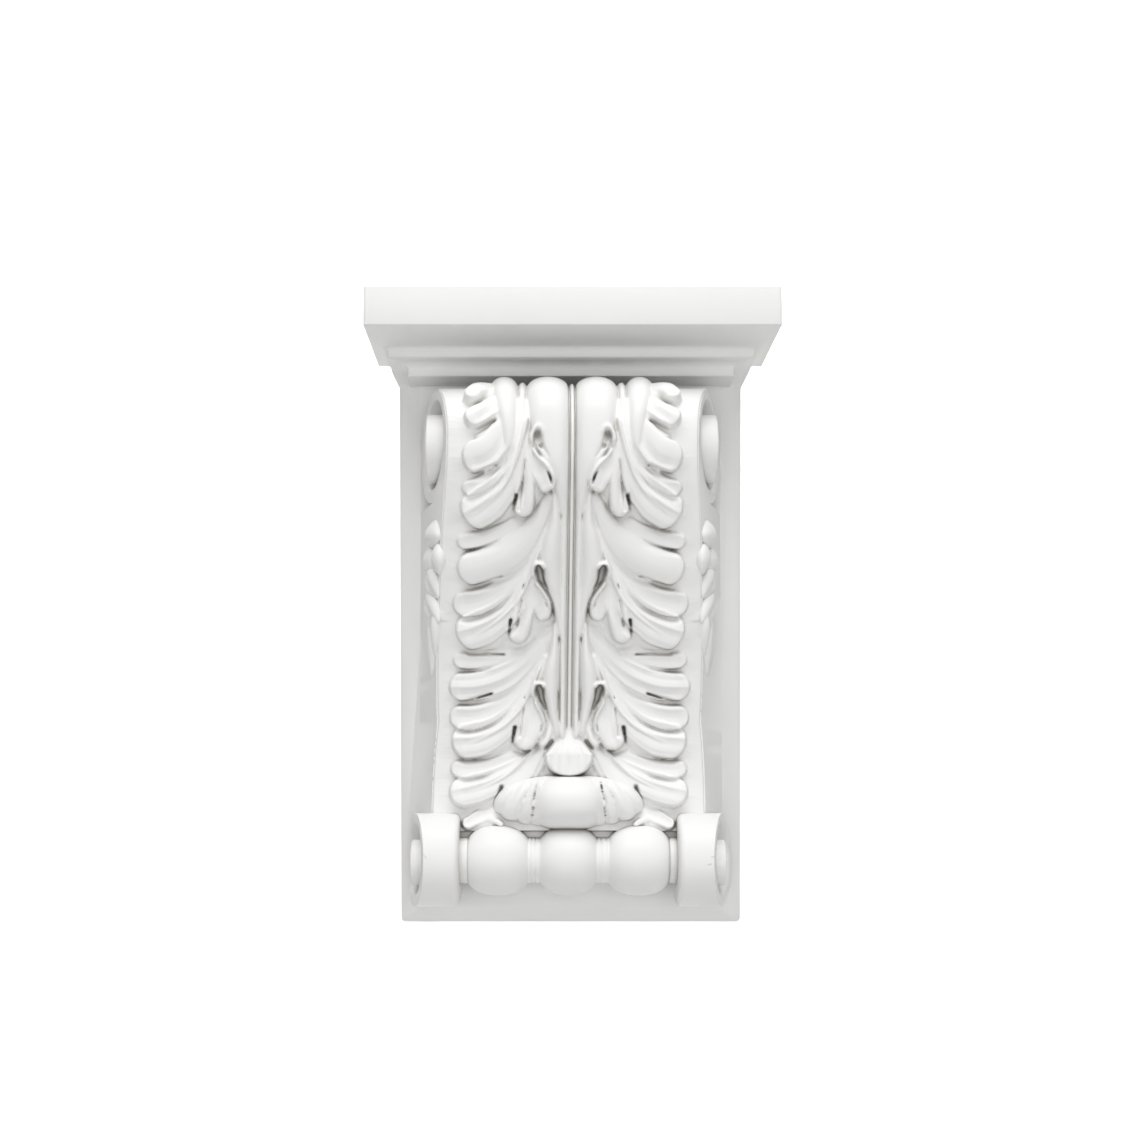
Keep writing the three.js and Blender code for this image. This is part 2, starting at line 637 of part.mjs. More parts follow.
// The outer surface alone: small voids closed in between overlapping leaves are filled.
function outerSurface(positions, triangles) {
  const count = triangles.length / 3;
  const owner = Array.from({ length: count }, (unused, k) => k);
  const find = (k) => {
    let top = k;
    while (owner[top] !== top) {
      top = owner[top];
    }
    return top;
  };
  const firstOnEdge = new Map();
  for (let k = 0; k < 3 * count; k += 1) {
    const face = Math.floor(k / 3);
    const ends = [triangles[k], triangles[3 * face + (k + 1) % 3]].sort((a, b) => a - b).join(' ');
    if (firstOnEdge.has(ends)) {
      owner[find(face)] = find(firstOnEdge.get(ends));
    } else {
      firstOnEdge.set(ends, face);
    }
  }
  const surfaces = new Map();
  for (let face = 0; face < count; face += 1) {
    const key = find(face);
    surfaces.set(key, [...(surfaces.get(key) ?? []), ...triangles.slice(3 * face, 3 * face + 3)]);
  }
  return [...surfaces.values()].sort((a, b) => b.length - a.length)[0];
}

function meshOf(name, solid, material) {
  const mesh = solid.getMesh();
  const positions = new Float32Array(mesh.vertProperties);
  const geometry = new THREE.BufferGeometry();
  geometry.setAttribute('position', new THREE.BufferAttribute(positions, 3));
  geometry.setIndex(outerSurface(positions, weldShortEdges(positions, mesh.triVerts, SHORTEST_EDGE)));
  geometry.computeVertexNormals();
  const object = new THREE.Mesh(geometry, material);
  object.name = name;
  return object;
}

const group = new THREE.Group();
group.add(meshOf('corbel', makeCorbel(), new THREE.MeshStandardMaterial(PAINT)));

export default group;
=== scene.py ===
import math

import bpy
import numpy as np
from mathutils import Matrix, Vector


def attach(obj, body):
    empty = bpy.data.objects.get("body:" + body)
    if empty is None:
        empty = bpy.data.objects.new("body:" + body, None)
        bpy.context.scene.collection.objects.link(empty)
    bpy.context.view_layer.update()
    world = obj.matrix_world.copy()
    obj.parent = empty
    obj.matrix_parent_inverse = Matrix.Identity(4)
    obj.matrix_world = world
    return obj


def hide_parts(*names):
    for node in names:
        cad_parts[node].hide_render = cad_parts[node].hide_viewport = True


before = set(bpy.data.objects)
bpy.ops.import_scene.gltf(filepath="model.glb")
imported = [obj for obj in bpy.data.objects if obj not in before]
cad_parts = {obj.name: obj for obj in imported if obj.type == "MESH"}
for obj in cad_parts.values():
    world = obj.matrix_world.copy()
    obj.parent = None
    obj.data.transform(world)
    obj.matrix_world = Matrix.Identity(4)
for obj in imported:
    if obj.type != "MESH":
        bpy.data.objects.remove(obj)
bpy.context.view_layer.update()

# A one-piece white corbel. Sizes are in millimetres and become metres when a mesh is made.
# The wall is the plane y = 0, the front looks towards -Y, and x = 0 is the middle.
MM = 0.001

# Cap slab, its two fillets and the coves between them
TOP = 152.5
BOTTOM = -152.5
DEPTH = 64.0
CAP_HALF = 99.3
SOFFIT = TOP - 18.6
UPPER_FILLET = {"half": 91.6, "front": 31.2, "height": 5.1, "cove": 2.2, "side_cove": 3.9}
LOWER_FILLET = {"half": 82.3, "front": 22.7, "drop": 12.0, "height": 3.4, "cove": 4.5}
CAP_CORNER = 1.5
CAP_EDGE = 0.5
FILLET_CORNER = 0.4
FILLET_CHAMFER = 0.3
COVE_QUIRK = {"upper": 0.01, "lower": 0.4}
CORNER_STEPS = 4

# Back plate
PLATE_HALF = 88.3
PLATE_TAPER = 2.2
PLATE_EDGE = 0.8
PLATE_FACE = 5.7
PLATE_BEVEL_SIDE = 10.9
PLATE_BEVEL_BOTTOM = 7.6
PLATE_FLARE = 3.3
PLATE_FLARE_HEIGHT = 6.5
PLATE_FLARE_DEPTH = 4.0
PLATE_CORNER = 2.0

# Side profile of the console: volute, swell, S-curve and scroll
VOLUTE = {"y": -33.3, "z": 83.5, "radius": 27.7}
VOLUTE_START = math.radians(54)
SWELL_DROP = 23.5
SWELL_TURN = math.radians(17.4)
FOOT = {"y": -30.5, "z": -97.0, "turn": math.radians(-11)}
FOOT_RUN = 9.0
PULL_UPPER = 60.0
PULL_LOWER = 45.0
SCROLL = {"y": -28.9, "z": -120.1, "radius": 22.8, "inner": 52.9, "rim": 2.8}
BODY_BOTTOM = -122.0
CURVE_STEPS = {"volute": 240, "swell": 60, "bend": 500, "run": 20}

# Half widths: the back edge is straight and the front edge widens downwards
BACK_HALF = 76.6
FRONT_EDGE_Z = (-100.0, -52.0, 40.0, 120.0)
FRONT_EDGE_HALF = (67.0, 64.0, 58.9, 60.0)
FRONT_EDGE_Y = (-30.0, -30.0, -61.0, -61.0)
SCROLL_SIDE = {"front_half": 69.0, "front_y": -51.7, "back_half": 81.5, "back_y": -6.1}
VOLUTE_SIDE = {"front_half": 60.0, "front_y": -61.0, "back_half": BACK_HALF, "back_y": -PLATE_FACE}

# Whorls: a channel inside a ring, with a proud boss in it that has a dish and an eye
VOLUTE_WHORL = {
    "ring": 6.0, "channel": 9.0, "radius": 16.6, "proud": 2.4, "drop": 1.6, "eye": 9.6, "eye_proud": 1.2,
}
SCROLL_WHORL = {
    "ring": 5.4, "channel": 6.0, "radius": 11.3, "proud": 1.2, "drop": 1.4, "eye": 5.4, "eye_proud": 0.7,
}
WHORL_EDGE = 0.8
WHORL_CLEAR = 12.0
SCROLL_BLANK = {"from": 30.0, "to": 95.0, "top": -90.0}
ROUND = 96

# Bead roll and shell
BEAD = {"radius": 17.4, "half_length": 17.6, "middle_half": 16.2, "reel": 11.4, "line": 10.7, "pitch": 34.4}
BEAD_FULLNESS = 2.4
REEL_SHIFT = 0.3
SHELL_ROOT = 6.0
WEB_BACK = {"low": 4.0, "high": 2.0}
SHELL = {"z": -92.4, "y": -30.5, "half": 36.8, "top": 13.8, "low": 11.6, "reach": 12.8}
BARREL = {"half": 18.9, "height": 13.4, "reach": 17.6}
FAN = {"x": 13.5, "z": 26.0, "groove": 0.26, "scallop": 0.13}
FAN_GROOVES = np.radians((-4.0, 7.5, 18.4, 32.7, 47.0))

# Small casting nicks in the two bottom scrolls, as (distance, height, turn, half length)
NICKS = [
    (-68.6, -117.7, math.radians(45), 1.6),
    (68.8, -118.0, 0.0, 1.5),
    (66.8, -121.5, math.radians(-12), 1.2),
]
NICK_RADIUS = 0.55

# Buds and leaves of a side drop, as (y, z, half depth, half height, lean, where it is widest, rise)
SIDE_DROP = [
    (-38.0, 38.6, 10.5, 7.4, 0.15, 1.1, 4.8),
    (-33.0, 26.8, 8.5, 7.8, 0.0, 1.0, 5.0),
    (-43.5, 26.0, 5.5, 8.2, 0.0, 1.0, 3.6),
    (-35.0, 15.0, 7.4, 10.0, -0.7, 0.75, 4.8),
    (-33.0, 3.0, 7.4, 11.0, -0.75, 0.75, 4.8),
    (-28.0, -12.5, 6.6, 17.5, 0.16, 0.7, 4.4),
    (-34.0, -9.0, 4.4, 12.0, 0.2, 0.7, 3.8),
]

# The console's middle line leans to the left at the bottom scrolls. The lean grows over a depth in
# front of the plate, and the cap has none.
LEAN = 1.8
LEAN_DEPTH = 14.0
LEAN_TOP = 110.0

# Front relief: the grid of the carved sheet, its rounded side edges, and how it sits on the core
CELL = 0.42
EDGE_ROUND = 0.9
SHEET_BACK = 2.4
CORE_INSET = 1.2
CORE_BACK = -1.0
CORE_REACH = 90.0
WEDGE = {"bottom": -130.0, "top": 118.0, "levels": 63, "front": -80.0}
SHEET_HALF = 66.0
SEAM_INSET = 0.02
GROUND = {"half": 44.0, "fade": 8.0}

# Distance from the wall at which the foremost leaf curls start to be held back, and its limit
CURL_START = 65.5
CURL_MOST = 68.2

# Numbers of triangles, and the angle from which an edge is drawn sharp
SHEET_TRIANGLES = 150000
PIECE_TRIANGLES = 190000
SHARP_ANGLE = math.radians(48)

# Paint: painted shade in narrow gaps, greyer with a faint warm grime tint, and darker painted shade in deep
# pockets, as (reach in metres), and its colours
GAP_SHADE_REACH = 0.0065
POCKET_SHADE_REACH = 0.022
GAP_SHADE_AND_GRIME_COLOUR = (0.40, 0.375, 0.34, 1)
PAINT_COLOUR = (0.86, 0.86, 0.85, 1)

# Studio, in metres: lights as (name, place, target, size, watts, spread in degrees)
FLOOR_COLOUR = (0.62, 0.62, 0.61, 1)
BACKDROP_COLOUR = (0.96, 0.96, 0.96, 1)
WORLD_COLOUR = (1.0, 0.995, 0.985, 1)
WORLD_STRENGTH = 0.38
LIGHTS = [
    ("overhead", (0.0, -0.75, 1.35), (0, -0.04, 0), (1.8, 0.9), 9.5, 120),
    ("front_fill", (0.1, -2.0, -0.15), (0, 0, 0.05), (1.6, 0.9), 5.9, 140),
    ("low_fill", (0.0, -1.1, -0.82), (0, -0.04, 0.1), (1.2, 0.8), 2.0, 140),
    ("backdrop_wash", (0.0, 0.95, 2.2), (0, 1.6, 0.3), (3.0, 0.3), 34.0, 76),
]
CAMERA = {"place": (-0.01305, -0.725, -0.0936), "lens": 44.5, "shift_x": 0.0244, "shift_y": 0.15}
CAMERA_SENSOR = 36.0
CAMERA_PITCH = math.radians(2.48)


def smooth(value):
    """A soft step from 0 to 1 as the value goes from 0 to 1."""
    value = np.clip(value, 0.0, 1.0)
    return value * value * (3.0 - 2.0 * value)


def front_curve():
    """The console's front as points, outward normals and lengths, from behind the volute's top down."""
    swell_radius = SWELL_DROP / math.sin(SWELL_TURN)
    angle = np.linspace(VOLUTE_START, math.pi, CURVE_STEPS["volute"])[:-1]
    volute = np.stack([
        VOLUTE["y"] + VOLUTE["radius"] * np.cos(angle),
        VOLUTE["z"] + VOLUTE["radius"] * np.sin(angle),
    ], axis=1)
    front = VOLUTE["y"] - VOLUTE["radius"]
    turn = np.linspace(0.0, SWELL_TURN, CURVE_STEPS["swell"])[:-1]
    swell = np.stack([
        front + swell_radius * (1.0 - np.cos(turn)),
        VOLUTE["z"] - swell_radius * np.sin(turn),
    ], axis=1)
    start = np.array([front + swell_radius * (1.0 - math.cos(SWELL_TURN)), VOLUTE["z"] - SWELL_DROP])
    end = np.array([FOOT["y"], FOOT["z"]])
    upper = start + PULL_UPPER * np.array([math.sin(SWELL_TURN), -math.cos(SWELL_TURN)])
    lower = end + PULL_LOWER * np.array([-math.sin(FOOT["turn"]), math.cos(FOOT["turn"])])
    t = np.linspace(0.0, 1.0, CURVE_STEPS["bend"])[:, None]
    bend = (
        (1 - t) ** 3 * start + 3 * (1 - t) ** 2 * t * upper
        + 3 * (1 - t) * t ** 2 * lower + t ** 3 * end
    )
    run = np.linspace(0.0, FOOT_RUN, CURVE_STEPS["run"])[1:, None]
    below = end + run * np.array([math.sin(FOOT["turn"]), -math.cos(FOOT["turn"])])
    points = np.concatenate([volute, swell, bend, below])
    heading = np.gradient(points, axis=0)
    heading /= np.linalg.norm(heading, axis=1)[:, None]
    normals = np.stack([heading[:, 1], -heading[:, 0]], axis=1)
    step = np.linalg.norm(np.diff(points, axis=0), axis=1)
    lengths = np.concatenate([[0.0], np.cumsum(step)])
    return points, normals, lengths


CURVE, NORMALS, LENGTHS = front_curve()
CREST = int(np.argmax(CURVE[:, 1]))


def along_at(height):
    """Length along the curve at which the front has a height, over the crest's front side."""
    return float(np.interp(-height, -CURVE[CREST:, 1], LENGTHS[CREST:]))


def half_at(y, z):
    """Half width of the body between its drafted side planes."""
    edge_half = np.interp(z, FRONT_EDGE_Z, FRONT_EDGE_HALF)
    edge_y = np.interp(z, FRONT_EDGE_Z, FRONT_EDGE_Y)
    slope = (BACK_HALF - edge_half) / (-PLATE_FACE - edge_y)
    return BACK_HALF + slope * (y + PLATE_FACE)


# Mesh making

def linked(name, data):
    """A new object with this data, linked into the scene."""
    made = bpy.data.objects.new(name, data)
    bpy.context.collection.objects.link(made)
    return made


def mesh_object(name, vertices, faces):
    """An object from vertices in millimetres and faces."""
    mesh = bpy.data.meshes.new(name)
    mesh.from_pydata([tuple(v) for v in np.asarray(vertices) * MM], [], [tuple(f) for f in faces])
    mesh.update()
    return linked(name, mesh)


def outward(vertices, faces):
    """Faces turned so that the closed body has a positive volume."""
    points = np.asarray(vertices, float)
    volume = 0.0
    for face in faces:
        for k in range(1, len(face) - 1):
            a, b, c = points[face[0]], points[face[k]], points[face[k + 1]]
            volume += float(np.dot(a, np.cross(b, c)))
    if volume < 0:
        return [tuple(reversed(face)) for face in faces]
    return faces


def loft(name, rings):
    """A closed solid through rings with the same number of points, with flat ends."""
    count = len(rings[0])
    vertices = np.concatenate([np.asarray(ring, float) for ring in rings])
    faces = []
    for row in range(len(rings) - 1):
        for k in range(count):
            a = row * count + k
            b = row * count + (k + 1) % count
            faces.append((a, b, b + count, a + count))
    last = (len(rings) - 1) * count
    faces.append(tuple(reversed(range(count))))
    faces.append(tuple(last + k for k in range(count)))
    return mesh_object(name, vertices, outward(vertices, faces))


def lathe(name, profile, sides, place):
    """A closed solid of revolution about X from (x, radius) points, moved by a matrix in millimetres."""
    rings = []
    for x, radius in profile:
        angle = np.arange(sides) / sides * 2.0 * math.pi
        rings.append(np.stack([
            np.full(sides, x), radius * np.cos(angle), radius * np.sin(angle),
        ], axis=1))
    turned = []
    for ring in rings:
        turned.append(np.array([list(place @ Vector(point)) for point in ring]))
    return loft(name, turned)


def applied(thing):
    """The object with its modifiers worked into its mesh."""
    bpy.context.view_layer.update()
    graph = bpy.context.evaluated_depsgraph_get()
    mesh = bpy.data.meshes.new_from_object(thing.evaluated_get(graph))
    thing.modifiers.clear()
    old = thing.data
    thing.data = mesh
    bpy.data.meshes.remove(old)
    return thing


def joined(base, others, operation="UNION"):
    """The base with the others joined to it or cut from it."""
    for other in others:
        step = base.modifiers.new("join", "BOOLEAN")
        step.operation = operation
        step.solver = "MANIFOLD"
        step.object = other
    applied(base)
    for other in others:
        spare = other.data
        bpy.data.objects.remove(other)
        bpy.data.meshes.remove(spare)
    return base


# Leaf fingers of one half of the front. Each has a spine through root, middle and tip, given as
# (distance from the middle, height), its half widths there, its kind of section, its rise and how
# blunt its tip is.
LEAVES = [
    ((35.0, 107.5), (42.0, 105.5), (47.6, 100.4), (3.4, 5.8, 4.6), "swell", 5.8, 1.0),
    ((31.0, 101.5), (38.6, 95.0), (46.2, 90.0), (3.0, 5.4, 5.8), "double", 5.8, 1.1),
    ((31.0, 101.0), (35.5, 80.0), (46.0, 71.6), (2.6, 6.8, 7.8), "broad", 6.4, 1.25),
    ((27.0, 92.0), (33.5, 68.5), (48.6, 57.8), (1.6, 3.8, 3.8), "scoop", 5.6, 1.0),
    ((24.8, 98.0), (28.6, 66.0), (45.8, 47.6), (1.8, 6.0, 9.4), "vein", 6.8, 1.4),
    ((22.6, 88.0), (22.6, 62.0), (23.0, 50.0), (1.8, 5.2, 5.2), "groove", 7.0, 0.9),
    ((19.6, 75.0), (15.8, 65.5), (12.9, 59.0), (1.8, 3.9, 3.8), "spoon", 7.4, 1.0),
    ((22.0, 47.0), (35.0, 38.0), (50.6, 33.6), (1.6, 3.6, 4.0), "scoop", 5.0, 0.9),
    ((11.0, 54.0), (25.5, 32.0), (47.0, 21.4), (2.4, 7.4, 8.6), "swell", 6.8, 1.1),
    ((14.0, 41.0), (31.0, 14.0), (51.4, 4.8), (1.8, 5.0, 6.4), "scoop", 5.8, 1.1),
    ((12.5, 38.0), (27.0, 6.5), (48.4, -8.2), (1.8, 6.2, 9.4), "vein", 6.8, 1.3),
    ((19.5, 26.0), (22.0, 6.0), (25.0, -8.4), (1.8, 5.4, 5.4), "groove", 7.0, 0.9),
    ((18.6, 16.5), (15.8, 6.5), (13.6, 0.0), (1.8, 3.8, 3.7), "spoon", 7.4, 1.0),
    ((24.5, -17.5), (38.6, -21.8), (52.8, -22.4), (1.6, 3.6, 4.0), "scoop", 4.8, 0.9),
    ((9.5, -9.5), (29.6, -29.0), (52.8, -35.0), (2.2, 6.2, 7.2), "triple", 6.0, 1.15),
    ((12.0, -15.5), (32.6, -43.0), (53.4, -49.8), (1.8, 5.0, 6.2), "scoop", 5.6, 1.15),
    ((12.0, -20.5), (28.8, -50.5), (50.4, -61.6), (1.8, 6.2, 9.2), "vein", 6.6, 1.25),
    ((18.0, -30.0), (18.6, -49.0), (21.4, -60.4), (1.8, 6.2, 6.2), "groove", 7.0, 1.0),
    ((20.0, -66.0), (37.6, -73.6), (53.4, -75.6), (1.8, 3.8, 4.8), "scoop", 5.0, 1.0),
    ((14.0, -62.5), (30.2, -78.5), (51.6, -87.2), (1.8, 6.0, 8.0), "vein", 6.2, 1.15),
    ((10.0, -59.5), (20.5, -76.0), (29.5, -88.8), (2.0, 4.6, 4.4), "swell", 5.4, 1.0),
    ((34.5, -92.5), (41.5, -98.0), (49.0, -102.5), (2.4, 4.2, 3.2), "scoop", 3.0, 1.0),
    ((44.0, -101.0), (38.5, -100.5), (33.0, -103.0), (1.2, 1.8, 1.8), "swell", 3.2, 1.0),
    ((8.5, -42.0), (10.8, -57.0), (13.4, -62.5), (1.5, 2.8, 2.6), "swell", 6.6, 1.0),
    ((0.0, -53.0), (0.0, -63.0), (0.0, -70.2), (2.0, 7.4, 11.8), "fan", 7.8, 1.15),
]

# The leaf's body beside a finger, and the hollow just outside its tip
SKIRT = {"reach": 4.5, "share": 0.62, "fade": 0.42}
UNDER = {"depth": 3.4, "reach": 4.2, "full_width": 8.0, "from": 0.45, "fade": 0.25}

# Sections across a finger from its upper to its lower edge, as shares of the flute depth
SECTIONS = {
    "swell": (0.1, 0.55, 0.85, 1.0, 0.9, 0.6, 0.2),
    "double": (0.95, 0.4, 0.3, 0.75, 1.0, 0.6, 0.3, 0.5, 0.9),
    "broad": (0.5, 0.85, 1.0, 0.95, 0.8, 0.45, 0.25, 0.6, 0.95),
    "scoop": (1.0, 0.55, 0.2, 0.1, 0.3, 0.65, 1.0),
    "vein": (0.95, 0.45, 0.2, 0.45, 1.0, 0.6, 0.5, 0.7, 0.75, 0.5, 0.8),
    "groove": (0.8, 0.95, 0.9, 0.5, 0.15, 0.7, 0.95, 0.85, 0.7),
    "spoon": (0.95, 0.5, 0.15, 0.0, 0.2, 0.6, 1.0),
    "triple": (0.95, 0.35, 0.25, 0.7, 1.0, 0.55, 0.3, 0.45, 0.9),
    "fan": (0.85, 0.2, 0.75, 0.3, 0.9, 0.6, 1.0, 0.6, 0.9, 0.3, 0.75, 0.2, 0.85),
}

# Across a finger: full flutes from a half width on, a thin lip inside its edge and a rounded shoulder.
# Along it: the share of the rise at its root.
FLUTE_DEPTH = 2.0
FLUTE_FULL_HALF = 6.5
LEAF_START = 0.5
FAN_START = 0.05
LIP = 0.6
LIP_WIDTH = 0.45
LIP_INSET = 0.75
SHOULDER = 2.2
SHOULDER_FOOT = 0.45
TIP_SHARE = 0.97
SPINE_STEPS = 40

# Cuts: two ends as (distance from the middle, height), radius at each end and depth
CUTS = [
    ((41.1, 99.1), (50.5, 92.6), 0.6, 0.9, 3.0),
    ((36.7, 88.2), (50.0, 81.3), 0.6, 1.0, 3.4),
    ((36.1, 67.9), (49.0, 62.6), 0.6, 1.0, 3.4),
    ((26.6, 54.9), (27.6, 48.0), 0.8, 0.4, 4.5),
    ((22.4, 70.0), (25.1, 48.2), 0.35, 0.6, 1.6),
    ((16.6, 82.0), (14.8, 76.5), 2.2, 1.5, 3.8),
    ((14.8, 76.5), (11.1, 71.2), 1.2, 0.4, 2.0),
    ((33.3, 17.7), (53.0, 10.8), 0.6, 1.0, 3.6),
    ((28.8, -2.8), (29.8, -10.0), 0.85, 0.4, 4.5),
    ((22.6, 14.0), (25.9, -5.7), 0.35, 0.6, 1.6),
    ((15.4, 21.3), (14.2, 16.0), 2.4, 1.6, 4.0),
    ((14.2, 16.0), (11.0, 11.7), 1.3, 0.5, 2.2),
    ((32.1, -19.5), (49.0, -19.0), 0.6, 0.9, 3.0),
    ((38.0, -38.3), (54.5, -43.4), 0.6, 1.0, 3.6),
    ((26.6, -54.9), (27.8, -62.5), 0.9, 0.4, 4.5),
    ((21.8, -40.0), (24.0, -59.3), 0.35, 0.6, 1.8),
    ((14.6, -35.5), (13.6, -41.0), 2.4, 1.7, 4.0),
    ((13.6, -41.0), (11.4, -46.0), 1.3, 0.5, 2.2),
    ((32.8, -84.5), (35.5, -92.5), 0.9, 0.8, 3.6),
    ((8.4, -61.5), (11.6, -65.6), 0.75, 0.6, 4.0),
]

# Rims round the eyes and lips of the folded leaves, as lines of (distance, height) with a height each
RIDGES = [
    ([(18.9, 76.0), (19.5, 80.3), (17.6, 83.9), (14.9, 83.9), (13.5, 81.0)], 0.75, 8.0),
    ([(18.9, 76.0), (16.8, 71.8), (13.0, 68.4), (9.7, 64.2), (8.7, 59.6), (10.3, 56.4)], 0.65, 7.9),
    ([(17.3, 16.0), (18.4, 19.8), (17.2, 23.4), (14.4, 23.5), (13.0, 20.8)], 0.75, 8.0),
    ([(17.3, 16.0), (15.3, 12.8), (12.8, 9.6), (10.6, 5.3), (10.2, 0.6), (11.8, -2.8)], 0.65, 7.9),
    ([(17.2, -41.0), (18.0, -37.2), (16.8, -33.6), (13.8, -33.2), (12.2, -36.0)], 0.75, 7.8),
    ([(17.2, -41.0), (15.6, -45.0), (13.2, -49.5), (12.4, -55.0), (14.8, -61.5)], 0.6, 7.4),
    ([(20.8, 92.0), (25.4, 73.0), (32.0, 59.2), (43.0, 48.9), (47.5, 44.5)], 0.55, 6.3),
    ([(14.0, 34.0), (22.0, 12.0), (30.0, 1.5), (40.0, -6.5), (48.5, -11.5)], 0.55, 6.3),
    ([(13.5, -22.0), (21.5, -42.0), (30.0, -52.5), (40.0, -59.0), (49.5, -63.5)], 0.55, 6.1),
    ([(16.5, -64.5), (28.0, -77.0), (38.0, -83.5), (50.0, -88.5)], 0.5, 5.4),
]

# Smooth round bars that carry the leaves, as stations of (distance, height, half width, rise)
BARS = [
    [(11.7, 118, 10.2, 4.4), (11.7, 109, 10.1, 5.8), (11.4, 96, 9.8, 7.4), (9.6, 76, 8.0, 6.8),
     (6.4, 62, 5.0, 5.8), (4.6, 50, 2.6, 4.4)],
    [(32.6, 118, 6.0, 3.6), (32.4, 104, 6.2, 5.8), (31.2, 92, 5.0, 5.8), (30.2, 80, 3.4, 5.4),
     (30.6, 70, 2.0, 4.6)],
    [(24.2, 118, 2.4, 2.0), (24.0, 92, 1.6, 3.6)],
    [(8.6, 55, 1.6, 4.0), (8.0, 43, 3.2, 5.8), (9.6, 31, 5.2, 7.0), (9.4, 18, 4.8, 6.6), (7.0, 6, 3.2, 5.4),
     (4.6, -8, 2.0, 4.2)],
    [(7.4, -6, 1.4, 4.0), (7.8, -18, 2.8, 6.4), (9.4, -32, 4.4, 7.6), (8.6, -44, 3.2, 7.0),
     (6.4, -56, 2.2, 5.6)],
    [(3.6, 62, 1.7, 3.8), (3.6, 0, 1.8, 4.2), (3.4, -58, 1.7, 4.2)],
]

# The thin fillet down the middle and the groove on each side of it
FILLET = {"half": 1.15, "rise": 2.3, "lower_rise": 1.3, "bottom": -57.5}
FILLET_GROOVE = {"x": 1.5, "half": 0.36, "depth": 1.5}


def spine_of(root, middle, tip):
    """Points of a bowed spine that passes through its middle, in (distance, length along the front)."""
    ends = [np.array([place[0], along_at(place[1])]) for place in (root, middle, tip)]
    pull = 2.0 * ends[1] - 0.5 * (ends[0] + ends[2])
    t = np.linspace(0.0, 1.0, SPINE_STEPS)[:, None]
    points = (1 - t) ** 2 * ends[0] + 2 * (1 - t) * t * pull + t ** 2 * ends[2]
    return points, t[:, 0]


def nearest_on(points, share, x, along):
    """For each place: the share along a spine, the distance across it and how far past its ends."""
    best = np.full(x.shape, 1e9)
    across = np.zeros_like(x)
    where = np.zeros_like(x)
    past = np.zeros_like(x)
    for k in range(len(points) - 1):
        run = points[k + 1] - points[k]
        length = np.hypot(*run)
        run = run / length
        off_x = x - points[k][0]
        off_along = along - points[k][1]
        forward = off_x * run[0] + off_along * run[1]
        inside = np.clip(forward, 0.0, length)
        gap = np.hypot(off_x - inside * run[0], off_along - inside * run[1])
        closer = gap < best
        best = np.where(closer, gap, best)
        across = np.where(closer, off_along * run[0] - off_x * run[1], across)
        where = np.where(closer, share[k] + (share[k + 1] - share[k]) * inside / length, where)
        beyond = 0.0
        if k == 0:
            beyond = np.maximum(-forward, 0.0)
        if k == len(points) - 2:
            beyond = np.maximum(forward - length, 0.0)
        past = np.where(closer, beyond, past)
    return where, across, past


def window(points, margin, x, along):
    """Rows and columns of the grid that a spine can reach."""
    low = points.min(axis=0) - margin
    high = points.max(axis=0) + margin
    near = (x > low[0]) & (x < high[0]) & (along > low[1]) & (along < high[1])
    rows = np.where(near.any(axis=1))[0]
    columns = np.where(near.any(axis=0))[0]
    return slice(rows[0], rows[-1] + 1), slice(columns[0], columns[-1] + 1)


def flute(place, shares):
    """Share of the flute depth across a finger, with soft crests and hollows."""
    last = len(shares) - 1
    spot = np.clip((place + 1.0) * 0.5 * last, 0.0, last - 1e-6)
    first = spot.astype(int)
    part = spot - first
    part = 0.35 * part + 0.65 * smooth(part)
    shares = np.array(shares)
    return shares[first] * (1.0 - part) + shares[first + 1] * part


def bent(place, stations, values):
    """Values between stations along a smooth curve."""
    slopes = np.gradient(values, stations)
    last = len(stations) - 2
    first = np.clip(np.searchsorted(stations, place) - 1, 0, last)
    width = stations[first + 1] - stations[first]
    t = np.clip((place - stations[first]) / width, 0.0, 1.0)
    rise = values[first] + width * slopes[first] * t
    fall = values[first + 1] - width * slopes[first + 1] * (1.0 - t)
    return rise * (1.0 - smooth(t)) + fall * smooth(t)


def finger_height(leaf, x, along):
    """Height of a leaf finger with the leaf's body beside it, and depth of the hollow round its tip."""
    root, middle, tip, widths, kind, rise, blunt = leaf
    points, share = spine_of(root, middle, tip)
    where, across, past = nearest_on(points, share, x, along)
    full = np.interp(where, (0.0, 0.5, 0.85, 1.0), (widths[0], widths[1], widths[2], widths[2] * TIP_SHARE))
    reach = np.hypot(across, past * blunt)
    inside = full - reach
    section = flute(across / full, SECTIONS[kind])
    start = FAN_START if kind == "fan" else LEAF_START
    lift = rise * (start + (1.0 - start) * smooth(where / 0.9))
    depth = FLUTE_DEPTH * np.minimum(full / FLUTE_FULL_HALF, 1.0) * (0.3 + 0.7 * smooth(where * 1.3))
    depth = depth * (1.0 - 0.45 * smooth((where - 0.7) / 0.3) * smooth(past / full * 2.0 + 0.4))
    height = lift - depth * (1.0 - section)
    height = height + LIP * np.exp(-((inside - LIP_INSET) / LIP_WIDTH) ** 2) * smooth(where * 2.0)
    edge = np.clip(inside / SHOULDER, 0.0, 1.0)
    rounded = np.sqrt(np.clip(1.0 - (1.0 - edge) ** 2, 0.0, 1.0))
    wall = np.clip(inside / 0.5 + 0.5, 0.0, 1.0)
    height = np.where(inside > -0.3, height * (SHOULDER_FOOT + (1.0 - SHOULDER_FOOT) * rounded) * wall, 0.0)
    skirt = SKIRT["share"] * lift * smooth(1.0 + inside / SKIRT["reach"])
    skirt = skirt * smooth((1.0 - where) / SKIRT["fade"])
    size = min(widths[2] / UNDER["full_width"], 1.0)
    hollow = UNDER["depth"] * size * smooth(1.0 + inside / UNDER["reach"])
    hollow = hollow * smooth((where - UNDER["from"]) / UNDER["fade"]) * (inside < 0.0)
    return np.maximum(height, skirt), hollow


